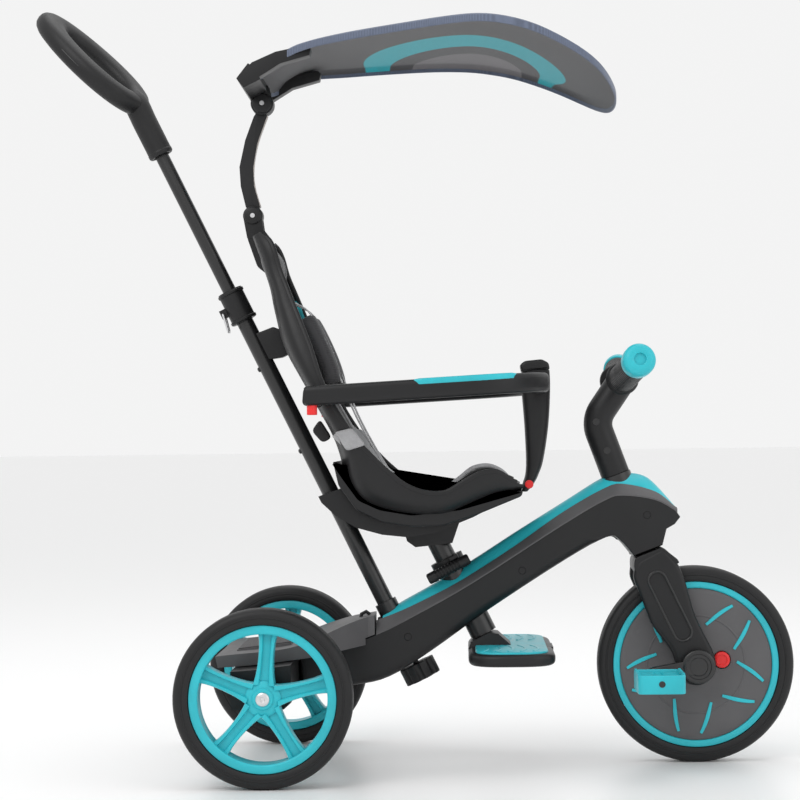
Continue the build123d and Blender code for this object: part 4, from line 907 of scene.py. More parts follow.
class TRICYCLE_OT_front_wheel(bpy.types.Operator):
    """Front tyre, rim, the two marked cover discs and the drive button"""

    bl_idname = "tricycle.front_wheel"
    bl_label = "Front wheel"

    def execute(self, context):
        sizes = context.scene.tricycle_sizes
        publish(
            solid("front_tyre_finished", lathe(tyre_profile(FRONT_RADIUS), FRONT_HUB, 160)),
            "front_wheel", "tyre", "front_tyre",
        )
        ring = lathe(rim_lip(FRONT_SEAT + 0.2, 8.7, 5, RIM_HALF + 1.4), FRONT_HUB, 160)
        web = lathe([(-4, 20), (-4, 100), (4, 100), (4, 20)], FRONT_HUB, 96)
        publish(
            solid("front_rim_finished", joined(ring, web)), "front_wheel", "turquoise",
            "front_rim",
        )
        for side, node in ((-1, "front_disc_right"), (1, "front_disc_left")):
            self.disc(side, node, sizes)
        low, high = box("drive_button")
        spot = ((low.x + high.x) / 2, 0, (low.z + high.z) / 2)
        cap = [
            (high.y, 0.01), (high.y, 10.6), (low.y + 2.6, 10.6), (low.y + 1.0, 10.0),
            (low.y + 0.2, 8.6), (low.y, 6.8), (low.y + 1.0, 6.2), (low.y + 1.0, 0.01),
        ]
        button = carved(
            solid("drive_button_finished", lathe(cap, spot, 48)),
            lathe([(-60, 0.01), (-60, 21.6), (60, 21.6), (60, 0.01)], FRONT_HUB, 64),
        )
        publish(button, "drive_button", "red", "drive_button")
        return {"FINISHED"}

    def disc(self, side, node, sizes):
        """Dished grey disc with faint rings and pairs of raised turquoise marks."""
        face, back = side * 17.8, side * 15.0
        rings = [(22, 0), (24, 1.4), (30, 1.4), (33, 0.2), (62, 0.2), (62.8, 0.8),
                 (64, 0.8), (64.8, 0.2), (92, 0), (96, -0.6), (98.2, -1.6)]
        profile = [(face + side * lift, r) for r, lift in rings]
        profile += [(back, 98.2), (back, 22)]
        plate = solid(f"{node}_finished", lathe(profile, FRONT_HUB, 128))
        if side < 0:
            spot = middle("drive_button")
            carved(plate, lathe(
                [(-30, 0.01), (-30, 11.8), (30, 11.8), (30, 0.01)], (spot.x, 0, spot.z), 48
            ))
        publish(plate, "front_wheel", "dark grey disc", node)
        marks = []
        for lean in (1, -1):
            middle_line = [
                (radians(90) + lean * radians(27 - 17.7 * t ** 0.8), 53 + 36.6 * t)
                for t in (k / 8 for k in range(9))
            ]
            path = [(r * cos(a), face + side * 0.6, r * sin(a)) for a, r in middle_line]
            grow = [(0.7 + 0.3 * sin(pi * k / 8), 1) for k in range(9)]
            marks.append(sweep(path, block_section(5.2, 2.0, 0.9), (0, 1, 0), scales=grow))
        slashes = copies(
            f"{node}_marks", joined(*marks), sizes.slashes, "turquoise",
            centre=(FRONT_HUB.x, 0, FRONT_HUB.z), turn=2 * pi / sizes.slashes,
        )
        spin = Matrix.Translation(FRONT_HUB * MM) @ Matrix.Rotation(radians(90 - 48), 4, "Y")
        slashes.data.transform(spin @ Matrix.Translation(-FRONT_HUB * MM))
        publish(slashes, "front_wheel", "turquoise")


class TRICYCLE_OT_rear_wheels(bpy.types.Operator):
    """Rear tyres, spoked rims and axle nuts"""

    bl_idname = "tricycle.rear_wheels"
    bl_label = "Rear wheels"

    def execute(self, context):
        count = context.scene.tricycle_sizes.spokes
        for name, side in (("right", -1), ("left", 1)):
            hub = middle(f"rear_tyre_{name}")
            publish(
                solid(f"rear_tyre_{name}_finished", lathe(tyre_profile(REAR_RADIUS), hub, 144)),
                f"rear_wheel_{name}", "tyre", f"rear_tyre_{name}",
            )
            ring = solid("ring", lathe(rim_lip(REAR_SEAT + 0.2, 11.2, 4, RIM_HALF + 1.2), hub, 144))
            boss = [
                (-14, 6.6), (-14, 12), (-12.5, 13.5), (-11, 13.5), (-10, 20), (-8.5, 22),
                (8.5, 22), (10, 20), (11, 13.5), (12.5, 13.5), (14, 12), (14, 6.6),
            ]
            boss = solid("boss", lathe(boss, hub, 72))
            spokes = copies(
                f"spokes_{name}", self.spoke(), count, "turquoise", centre=hub,
                turn=2 * pi / count,
            )
            spin = Matrix.Rotation(radians(90 - 13), 4, "Y")
            spokes.data.transform(
                Matrix.Translation(hub * MM) @ spin @ Matrix.Translation(-hub * MM)
            )
            rim = merged(f"rear_rim_{name}_finished", ring, boss, spokes)
            publish(rim, f"rear_wheel_{name}", "turquoise", f"rear_rim_{name}")
        nuts = []
        for side in (-1, 1):
            y = side * (abs(box("rear_axle_nuts")[0].y))
            dome = [(y - side * 6, 6.3), (y - side * 6, 11), (y - side * 5, 11),
                    (y - side * 4.6, 9), (y - side * 1.6, 8.2), (y - side * 0.4, 6.4),
                    (y - side * 0.4, 3.2), (y - side * 1.8, 2.6), (y - side * 1.8, 0.01),
                    (y - side * 2.4, 0.01), (y - side * 2.4, 6.3)]
            nuts.append(lathe(dome, (REAR_HUB.x, 0, REAR_HUB.z), 40))
        publish(
            solid("rear_axle_nuts_finished", joined(*nuts)), "frame", "bright steel",
            "rear_axle_nuts",
        )
        return {"FINISHED"}

    def spoke(self):
        """One spoke, pointing up: a channel with two raised ribs that flares at both ends."""
        rings = []
        for k in range(15):
            t = k / 14
            r = 17 + 64 * t
            flare = 4.6 * (1 - t) ** 4 + 3.4 * t ** 6
            half, groove = 9.0 + flare, 4.7 + flare * 0.35
            high, low = 12.4 - 1.2 * t, 6.4
            right = [
                (-half, 3 - high), (-half + 0.8, -high), (-groove - 0.8, -high),
                (-groove, -high + 0.9), (-groove + 0.6, -low), (groove - 0.6, -low),
                (groove, -high + 0.9), (groove + 0.8, -high), (half - 0.8, -high),
                (half, 3 - high),
            ]
            section = right + [(x, -y) for x, y in reversed(right)]
            rings.append([(x, y, r) for x, y in section])
        return loft(rings)


# ---- steering --------------------------------------------------------------------
LEG_INNER, LEG_OUTER = 27.5, 43.6
LEG_OUTLINE = [
    (286, 262), (282.6, 240), (288, 228), (306, 180), (331, 147), (340.5, 114),
    (352, 103), (368, 101), (382, 110), (389.6, 126), (384.5, 146), (371, 172),
    (360.6, 195.2), (349, 240), (341, 259), (330, 272), (321, 280),
]
CROWN_OUTLINE = [
    (284.5, 266.5), (284.2, 250), (291.5, 242.5), (303, 246), (317, 252), (330, 256.6),
    (343, 259.8), (340, 265), (330.1, 272.6), (321.5, 280.8),
]
RECESS_TOP, RECESS_FOOT, RECESS_RADIUS = (313.5, 237.5), (345.5, 171), 11.0


def stadium(start, end, radius, count=14):
    """Closed side-view outline of a long rounded slot."""
    lean = atan2(end[1] - start[1], end[0] - start[0])
    line = []
    for (x, z), first in ((end, -90), (start, 90)):
        for k in range(count + 1):
            a = lean + radians(first + 180 * k / count)
            line.append((x + radius * cos(a), z + radius * sin(a)))
    return line


class TRICYCLE_OT_fork(bpy.types.Operator):
    """Fork crown, both legs with their framed panels, and the steerer"""

    bl_idname = "tricycle.fork"
    bl_label = "Fork"

    def execute(self, context):
        edge = context.scene.tricycle_sizes.fork_edge
        leg = slab(softened(LEG_OUTLINE, 9, 3), -LEG_OUTER, -LEG_INNER, edge, 5)
        right = carved(
            solid("fork_leg", leg),
            slab(stadium(RECESS_TOP, RECESS_FOOT, RECESS_RADIUS), -60, -LEG_OUTER + 1.6, 0.1, 1),
        )
        left = right.copy()
        left.data = right.data.copy()
        left.data.transform(Matrix.Scale(-1, 4, (0, 1, 0)))
        left.data.flip_normals()
        bpy.context.scene.collection.objects.link(left)
        crown = solid("crown", slab(
            softened(CROWN_OUTLINE, 6, 4), 0.7 - LEG_OUTER, LEG_OUTER - 0.7, 1.6, 3
        ))
        steerer = solid("steerer", spun(
            [(-118, 0.01), (-118, 12.7), (34, 12.7), (34, 0.01)], STEER_TOP, STEER_AXIS
        ))
        fork = merged("fork_finished", right, left, crown, steerer)
        publish(fork, "steering", "black shell", "fork")
        rims = []
        for side in (-1, 1):
            y = side * (LEG_OUTER - 0.2)
            path = [(x, y, z) for x, z in stadium(RECESS_TOP, RECESS_FOOT, RECESS_RADIUS + 0.6)]
            rims.append(sweep(path, circle_section(1.5, 10), (0, 1, 0), closed=True))
        publish(solid("fork_panel_rims", joined(*rims)), "steering", "black tube")
        return {"FINISHED"}


class TRICYCLE_OT_handlebar(bpy.types.Operator):
    """Stem, handlebar, ribbed grips and round end caps"""

    bl_idname = "tricycle.handlebar"
    bl_label = "Handlebar"

    def execute(self, context):
        publish(thickened(refined("stem", 1.0), 1.8), "steering", "black shell", "stem")
        publish(refined("handlebar", 0), "steering", "black tube", "handlebar")
        publish(refined("stem_bolts", 0.4), "steering", "black tube", "stem_bolts")
        end = Vector((283.2, -200, 518))
        inner = Vector((267.5, -34, 493))
        run = (end - inner).normalized()
        ribs = [(-138, 11.2), (-138, 20.4), (-135, 21.4), (-132, 20.4), (-130, 18.2)]
        d = -126.0
        while d < -28:
            ribs += [(d, 18.2), (d + 1, 17.3), (d + 2, 17.3), (d + 3, 18.2), (d + 6.5, 18.2)]
            d += 7.6
        ribs += [(-22, 18.2), (-20.4, 17.4), (-20.4, 11.2)]
        grip = spun(ribs, end, run, 40)
        publish(solid("grips_finished", both_sides(grip)), "steering", "grip", "grips")
        cap = [
            (-20, 11.2), (-20, 18.6), (-18.6, 20.2), (-14, 20.5), (-2, 20.5), (1.6, 19.6),
            (4.4, 17.2), (5.6, 13.8), (5.8, 9.2), (5.2, 7.8), (2.2, 7.2), (2.2, 0.01),
            (0.2, 0.01), (0.2, 11.0),
        ]
        caps = solid("grip_end_caps_finished", both_sides(spun(cap, end, run, 56)))
        publish(caps, "steering", "turquoise", "grip_end_caps")
        collar = [
            (0.5, 12.9), (0.5, 18.0), (1.5, 18.8), (8, 18.8), (9, 18.0), (9, 12.9),
        ]
        collar = solid("stem_collar", spun(collar, STEER_TOP, STEER_AXIS, 48))
        publish(collar, "steering", "black shell")
        return {"FINISHED"}


# ---- cranks and pedals -----------------------------------------------------------
class TRICYCLE_OT_cranks(bpy.types.Operator):
    """Cranks with their hub caps, and the two open pedals"""

    bl_idname = "tricycle.cranks"
    bl_label = "Cranks and pedals"

    def execute(self, context):
        for name, side in (("right", -1), ("left", 1)):
            self.crank(name, side)
            self.pedal(name)
        return {"FINISHED"}

    def crank(self, name, side):
        """Boss with a domed cap, tapered arm, spindle; the left one has the axle."""
        tip = pivot(f"pedal_{name}_spin")
        inner, outer = side * 45.6, side * 56.4
        low, high = sorted((inner, outer))
        hub = (FRONT_HUB.x, 0, FRONT_HUB.z)
        run = Vector((tip.x - hub[0], tip.z - hub[2])).normalized()
        across = Vector((-run.y, run.x))
        foot, end = Vector((hub[0], hub[2])), Vector((tip.x, tip.z))
        arm = slab([
            tuple(foot + across * 10.5), tuple(foot - across * 10.5),
            tuple(end - across * 8), tuple(end - across * 5 + run * 7),
            tuple(end + run * 9), tuple(end + across * 5 + run * 7), tuple(end + across * 8),
        ], low, high, 2.5, 3)
        face = outer + side * 0.5
        boss = lathe([
            (inner, 7.2), (inner, 21.5), (face - side * 3, 22), (face - side, 21.2),
            (face, 19.6), (face, 16.5), (face - side * 1.2, 15.8), (face - side * 1.2, 12),
            (face - side * 0.2, 11), (face, 6), (face, 0.01), (face - side * 3, 0.01),
            (face - side * 3, 7.2),
        ], hub, 64)
        spindle = lathe([
            (inner, 0.01), (inner, 4), (side * 189, 4), (side * 189, 0.01),
        ], (tip.x, 0, tip.z), 24)
        parts = [arm, boss, spindle]
        if name == "left":
            parts.append(lathe([(-52, 0.01), (-52, 7), (52, 7), (52, 0.01)], hub, 40))
        publish(
            solid(f"crank_{name}_finished", joined(*parts)), "cranks", "black tube",
            f"crank_{name}",
        )

    def pedal(self, name):
        """Frame of four walls, a barrel, cross webs and gripping teeth."""
        low, high = box(f"pedal_{name}")
        hub = middle(f"pedal_{name}")
        y0, y1 = low.y + 0.4, high.y - 0.4
        x0, x1 = low.x + 0.4, high.x - 0.4
        z0, z1 = low.z + 0.6, high.z - 2.2
        radius = 7.0
        outer = softened([(x0, y0), (x1, y0), (x1, y1), (x0, y1)], 9, 4)
        path = [(x, y, (z0 + z1) / 2) for x, y in shrunk(outer, [2.2] * len(outer))]
        wall = sweep(path, block_section(4.2, z1 - z0, 1.4), (0, 0, 1), closed=True)
        barrel = lathe([
            (y0 + 1, 4.1), (y0 + 1, radius), (y1 - 1, radius), (y1 - 1, 4.1),
        ], (hub.x, 0, pivot(f"pedal_{name}_spin").z), 32)
        webs = []
        for t in (0.28, 0.5, 0.72):
            y = y0 + (y1 - y0) * t
            for a, b in ((x0 + 3, hub.x - radius + 1), (hub.x + radius - 1, x1 - 3)):
                webs.append(slab(
                    [(a, z0 + 2), (b, z0 + 2), (b, z1 - 2), (a, z1 - 2)], y - 1.6, y + 1.6, 0.6, 2
                ))
        teeth = []
        for x in (x0 + 2.2, x1 - 2.2):
            for k in range(9):
                y = y0 + 10 + (y1 - y0 - 20) * k / 8
                tooth = [
                    (x - 1.8, z1 - 1), (x + 1.8, z1 - 1), (x + 1.2, z1 + 1.9), (x - 1.2, z1 + 1.9),
                ]
                teeth.append(slab(tooth, y - 2, y + 2, 0.5, 2))
        pedal = solid(f"pedal_{name}_finished", joined(wall, barrel, *webs, *teeth))
        publish(pedal, f"pedal_{name}", "turquoise", f"pedal_{name}")


# ---- push bar --------------------------------------------------------------------
HANDLE_BEND = Vector((-360, 0, 869))
HANDLE_TIP = Vector((-478, 0, 981))
HANDLE_TURN = radians(-15)
HANDLE_HALF = 46.0


class TRICYCLE_OT_push_bar(bpy.types.Operator):
    """Telescopic tubes, collar, clip, foot knob, rivets and the loop handle"""

    bl_idname = "tricycle.push_bar"
    bl_label = "Push bar"

    def execute(self, context):
        edge = context.scene.tricycle_sizes.edge
        for node, finish, bevel in (
            ("push_bar_lower_tube", "black tube", 0.6), ("push_bar_upper_tube", "black tube", 0.4),
            ("push_bar_collar", "black shell", edge), ("push_bar_clip", "bright steel", 0),
            ("push_bar_knob", "black shell", 2.0),
        ):
            piece = refined(node, bevel)
            if node == "push_bar_knob":
                piece.data.transform(Matrix.Translation(BAR_AXIS * 6 * MM))
            publish(piece, BODY_OF[node], finish, node)
        self.collar_rings()
        self.handle()
        return {"FINISHED"}

    def collar_rings(self):
        """Raised rings on the collar and the snap rivets behind the lower tube."""
        base = BAR_FOOT
        rings = joined(*[
            spun([(d, 15), (d, 17.2), (d + 0.8, 18), (d + 3.4, 18), (d + 4.2, 17.2), (d + 4.2, 15)],
                 base, BAR_AXIS, 40)
            for d in (418.5, 456.5)
        ])
        publish(solid("collar_rings", rings), "push_bar", "black shell")
        back = BAR_AXIS.cross(Vector((0, 1, 0))).normalized()
        back = back if back.x < 0 else -back
        rivets = joined(*[
            spun([(10, 0.01), (10, 3.6), (12.6, 3.2), (13.6, 1.8), (13.9, 0.01)],
                 base + BAR_AXIS * d, back, 20)
            for d in (232, 352)
        ])
        publish(solid("push_bar_rivets", rivets), "push_bar", "black tube")

    def handle(self):
        """Loop to hold: a deep oval rod all round, thicker at the near end, on a bent neck."""
        run = HANDLE_TIP - HANDLE_BEND
        reach = run.length / 2 - 5
        ahead = run.normalized()
        across = Vector((0, 1, 0))
        mid = (HANDLE_BEND + HANDLE_TIP) / 2 - ahead * 3
        path, scales = [], []
        for k in range(72):
            a = 2 * pi * k / 72
            squeeze = 1 - 0.10 * cos(a)
            path.append(mid + ahead * reach * cos(a) + across * HANDLE_HALF * sin(a) * squeeze)
            scales.append((1.0 + 0.42 * max(0, cos(a)) ** 3, 1.0))
        section = [
            (15.5 * abs(cos(t)) ** 0.8 * (1 if cos(t) > 0 else -1),
             14.0 * abs(sin(t)) ** 0.8 * (1 if sin(t) > 0 else -1))
            for t in (2 * pi * j / 20 for j in range(20))
        ]
        normal = ahead.cross(across)
        ring = sweep(path, section, up=normal, closed=True, scales=scales)
        neck_start = BAR_FOOT + BAR_AXIS * 664
        knee = BAR_FOOT + BAR_AXIS * 704
        points = [
            neck_start, neck_start + BAR_AXIS * 22, knee + (HANDLE_BEND - knee) * 0.25,
            HANDLE_BEND - ahead * 2, HANDLE_BEND + ahead * 9,
        ]
        line = [Vector((x, 0, z)) for x, z in curve([(p.x, p.z) for p in points], 6)]
        count = len(line) - 1
        grow = []
        for k in range(count + 1):
            t = k / count
            grow.append((1.0 + 0.42 * t ** 3, 1.0))
        neck = sweep(line, circle_section(16.2, 32), up=normal, scales=grow)
        lip = spun([(662, 11), (662, 15), (664, 16.6), (668, 16.6), (670, 15), (670, 11)],
                   BAR_FOOT, BAR_AXIS, 40)
        handle = solid("push_handle_finished", joined(ring, neck, lip), radians(50))
        seams = []
        for y_side in (-1, 1):
            trail = []
            for k in range(9, 28):
                a = 2 * pi * k / 72
                trail.append(
                    mid + ahead * reach * cos(a) + across * y_side * (HANDLE_HALF + 15.2) * sin(a)
                )
            seams.append(sweep(trail, circle_section(0.7, 8), up=normal))
        seam = solid("push_handle_seams", joined(*seams))
        turn = (
            Matrix.Translation(BAR_FOOT * MM) @ Matrix.Rotation(HANDLE_TURN, 4, BAR_AXIS)
            @ Matrix.Translation(-BAR_FOOT * MM)
        )
        for piece in (handle, seam):
            piece.data.transform(turn)
        publish(handle, "push_bar_upper", "grip", "push_handle")
        publish(seam, "push_bar_upper", "black tube")


# ---- seat ------------------------------------------------------------------------
# Each row is one cross-section of the bucket: centre line (x, z), rim (x, z) and half width.
SEAT_ROWS = [
    ((-205, 688), (-193, 694), 58), ((-201, 676), (-181, 683), 68),
    ((-195, 660), (-174, 668), 73), ((-190.5, 645.4), (-168, 646), 76),
    ((-182.5, 620), (-158.5, 622), 84), ((-177, 592), (-147, 593), 98),
    ((-164.5, 544.6), (-127, 543), 116), ((-143.9, 505.5), (-113.5, 501), 126),
    ((-121.9, 466.2), (-94, 461), 130), ((-102, 428), (-70, 424), 130),
    ((-92, 396), (-54, 407), 130), ((-87, 364), (-39.5, 392), 130),
    ((-70, 339), (-25, 379), 130), ((-40, 327), (-10, 367), 130),
    ((0, 321), (14, 356.8), 130), ((40, 322), (42, 355.6), 130),
    ((62, 328), (64, 367.5), 129), ((84, 336), (86, 379), 127),
    ((106, 344), (108, 381.5), 123), ((126, 351), (127, 370), 117),
    ((140, 357), (142, 364), 108),
]
SEAT_ACROSS = 18


def two_layer_faces(rows, across):
    """Faces of a closed piece whose points are one grid and then the grid under it."""
    grid = (rows + 1) * (across + 1)
    faces = []
    for i in range(rows):
        for j in range(across):
            a = i * (across + 1) + j
            quad = (a, a + 1, a + across + 2, a + across + 1)
            faces.append(quad)
            faces.append(tuple(grid + k for k in reversed(quad)))
    rim = list(range(across + 1))
    rim += [i * (across + 1) + across for i in range(1, rows + 1)]
    rim += [rows * (across + 1) + j for j in range(across - 1, -1, -1)]
    rim += [i * (across + 1) for i in range(rows - 1, 0, -1)]
    for k, a in enumerate(rim):
        b = rim[(k + 1) % len(rim)]
        faces.append((a, b, grid + b, grid + a))
    return faces


class SeatSurface:
    """Bucket surface: u runs from the headrest to the front lip, v across from -1 to 1."""

    def __init__(self):
        flat = [(*row[0], *row[1], row[2]) for row in SEAT_ROWS]
        self.rows = curve(flat, 4)

    def row(self, u):
        at = max(0.0, min(1.0, u)) * (len(self.rows) - 1)
        low = min(int(at), len(self.rows) - 2)
        share = at - low
        return [p + (q - p) * share for p, q in zip(self.rows[low], self.rows[low + 1])]

    def point(self, u, v):
        cx, cz, ex, ez, half = self.row(u)
        a = abs(v) * pi / 2
        out = sin(a) ** 0.6
        rise = 1 - cos(a) ** 0.55
        side = -1 if v < 0 else 1
        return Vector((cx + (ex - cx) * rise, side * half * out, cz + (ez - cz) * rise))

    def lifted(self, u, v, height):
        """Point off the surface, towards the child."""
        step = 0.004
        along = self.point(min(u + step, 1), v) - self.point(max(u - step, 0), v)
        v_low, v_high = max(v - 0.03, -1), min(v + 0.03, 1)
        across = self.point(u, v_high) - self.point(u, v_low)
        normal = along.cross(across)
        normal.normalize()
        if normal.dot(Vector((0.6, 0, 0.8))) < 0 and abs(v) < 0.7:
            normal = -normal
        elif abs(v) >= 0.7 and normal.y * v > 0:
            normal = -normal
        return self.point(u, v) + normal * height

    def pad(self, u0, u1, v0, v1, low, high, rows, across, crown=0.0, corner=0.2):
        """Closed pad between two heights over part of the surface, with round corners."""
        def place(i, j, top):
            s, t = i / rows, j / across
            pull = corner * max(0, abs(2 * s - 1) - 0.8) * 5
            half = (v1 - v0) / 2 * (1 - pull ** 2 * 0.35)
            v = (v0 + v1) / 2 + half * (2 * t - 1)
            bulge = crown * (1 - abs(2 * t - 1) ** 3) * (1 - abs(2 * s - 1) ** 6)
            edge = min(1.0, 6 * min(s, 1 - s) + 0.3, 5 * min(t, 1 - t) + 0.3)
            middle_height = (low + high) / 2
            height = high * edge + middle_height * (1 - edge) + bulge if top else low
            return tuple(self.lifted(u0 + (u1 - u0) * s, v, height))
        verts = [
            place(i, j, top)
            for top in (True, False) for i in range(rows + 1) for j in range(across + 1)
        ]
        return verts, two_layer_faces(rows, across)


SEAT = SeatSurface()
SHELL_WALL = 5.0


def swollen(piece, voxel, pressure, cap):
    """Padded shape: remeshed, blown up as cloth for twenty frames, movement capped."""
    step = piece.modifiers.new("Even mesh", "REMESH")
    step.mode = "VOXEL"
    step.voxel_size = voxel * MM
    settled(piece)
    start = [v.co.copy() for v in piece.data.vertices]
    cloth = piece.modifiers.new("Cloth", "CLOTH")
    cloth.settings.use_pressure = True
    cloth.settings.uniform_pressure_force = pressure
    cloth.settings.effector_weights.gravity = 0
    cloth.settings.quality = 4
    cloth.point_cache.frame_start, cloth.point_cache.frame_end = 1, 20
    scene = bpy.context.scene
    for number in range(1, 21):
        scene.frame_set(number)
    graph = bpy.context.evaluated_depsgraph_get()
    blown = piece.evaluated_get(graph).to_mesh()
    moved = [v.co.copy() for v in blown.vertices]
    piece.modifiers.clear()
    for vertex, old, new in zip(piece.data.vertices, start, moved):
        shift = new - old
        if shift.length > cap * MM:
            shift = shift.normalized() * cap * MM
        vertex.co = old + shift
    scene.frame_set(1)
    shape = bmesh.new()
    shape.from_mesh(piece.data)
    for _ in range(2):
        bmesh.ops.smooth_vert(
            shape, verts=shape.verts, factor=0.5, use_axis_x=True, use_axis_y=True,
            use_axis_z=True,
        )
    shape.to_mesh(piece.data)
    shape.free()
    piece.data.shade_smooth()
    return piece


def stitched(piece, seams, width, depth):
    """Presses sewn channels into a pad; each seam is a distance function in millimetres."""
    piece.data.update()
    normals = [v.normal.copy() for v in piece.data.vertices]
    for vertex, normal in zip(piece.data.vertices, normals):
        point = vertex.co / MM
        near = min(abs(seam(point)) for seam in seams)
        if near < width:
            press = (1 - (near / width) ** 2) ** 2
            vertex.co -= normal * depth * press * MM
    return piece


class TRICYCLE_OT_seat(bpy.types.Operator):
    """Bucket shell with its mast, ears and pins, under-tray, post, bracket and clamp"""

    bl_idname = "tricycle.seat"
    bl_label = "Seat"

    def execute(self, context):
        edge = context.scene.tricycle_sizes.edge
        shell = self.bucket()
        hub = pivot("canopy_arm_tilt")
        ears = []
        for y in (-12.4, 7.6):
            outline = [
                (hub.x + 13 * cos(a), hub.z + 13 * sin(a))
                for a in (radians(-20 + 220 * k / 16) for k in range(17))
            ] + [(-214, 690), (-190, 684)]
            ears.append(slab(outline, y, y + 4.8, 1.2, 3))
        stub = slab(
            softened([(-201, 652), (-186, 640), (-184, 690), (-196, 706), (-213, 703),
                      (-214, 690)], 4), -11.8, 11.8, 1.6, 3
        )
        posts = []
        for side in (-1, 1):
            ear = sorted((side * 127, side * 142.4))
            posts.append(slab(
                softened([(-136, 468), (-112, 464), (-106, 490), (-134, 490)], 6), *ear, 2, 3
            ))
            pin = [(side * 140, 0.01), (side * 140, 5), (side * 157, 5), (side * 158.4, 4),
                   (side * 158.4, 0.01)]
            posts.append(lathe(pin, (-121, 0, 481.5), 28))
        extras = solid("seat_fittings", joined(stub, *ears, *posts))
        whole = merged("seat_shell_finished", shell, extras)
        publish(whole, "seat", "black shell", "seat_shell")
        skirt = [
            (-100, 398), (-93, 366), (-70, 334), (-40, 319), (0, 313), (40, 314), (84, 328),
            (139, 350), (141, 358), (105, 350), (60, 336), (0, 330), (-40, 337), (-66, 349),
            (-84, 374),
        ]
        publish(
            solid("seat_skirt", slab(softened(skirt, 4, 3), -112, 112, 3, 3)), "seat",
            "black shell",
        )
        recline = slab(
            softened([(-128, 436), (-117, 451), (-102, 427), (-114, 420)], 6), -84, -76, 2, 3
        )
        publish(solid("recline_lever", recline), "seat", "black shell")
        for node, finish, bevel in (
            ("seat_under_tray", "black shell", 3.0), ("seat_post", "black tube", 0.5),
            ("seat_clamp", "black shell", edge),
        ):
            publish(refined(node, bevel), BODY_OF[node], finish, node)
        bracket = solid("back_bracket", slab(
            softened([(-214, 561), (-181.6, 573.3), (-160, 565), (-156, 540), (-170, 533),
                      (-200, 529)], 2), -9.5, 9.5, 1.2, 3,
        ))
        bore = [(330, 0.01), (330, 11.6), (450, 11.6), (450, 0.01)]
        publish(carved(bracket, spun(bore, BAR_FOOT, BAR_AXIS)), "seat", "black shell",
                "seat_back_bracket")
        self.lever()
        self.rim_trim()
        return {"FINISHED"}

    def bucket(self):
        """Closed shell: outer skin, inner skin and a rounded lip."""
        rows, across = 84, SEAT_ACROSS * 2
        verts = [
            tuple(SEAT.lifted(i / rows, -1 + 2 * j / across, height))
            for height in (0, SHELL_WALL) for i in range(rows + 1) for j in range(across + 1)
        ]
        shell = solid("seat_bucket", (verts, two_layer_faces(rows, across)), radians(60))
        lip = shell.modifiers.new("Lip", "BEVEL")
        lip.width = 1.4 * MM
        lip.segments = 2
        lip.limit_method = "ANGLE"
        lip.angle_limit = radians(50)
        return settled(shell)

    def rim_trim(self):
        """Rolled edge that follows the bucket's rim."""
        path = [tuple(SEAT.lifted(k / 60, -1, 2.4)) for k in range(2, 59)]
        trim = sweep(path, block_section(7.0, 6.0, 2.6), up=(0, 1, 0))
        publish(solid("seat_rim_trim", both_sides(trim)), "seat", "black shell")

    def lever(self):
        """Round release lever with a grooved grip beside the clamp."""
        axis = axis_of("seat_clamp_release")
        base = pivot("seat_clamp_release")
        profile = [(-30, 0.01), (-30, 5.6), (-28.6, 7.1), (-20, 7.4)]
        d = -18.0
        while d < 16:
            profile += [(d, 7.4), (d + 0.8, 6.6), (d + 1.8, 6.6), (d + 2.6, 7.4)]
            d += 4.4
        profile += [(24, 7.4), (28.6, 7.1), (30, 5.6), (30, 0.01)]
        lever = solid("seat_clamp_lever_finished", spun(profile, base, axis, 40))
        publish(lever, "seat_clamp_lever", "black shell", "seat_clamp_lever")


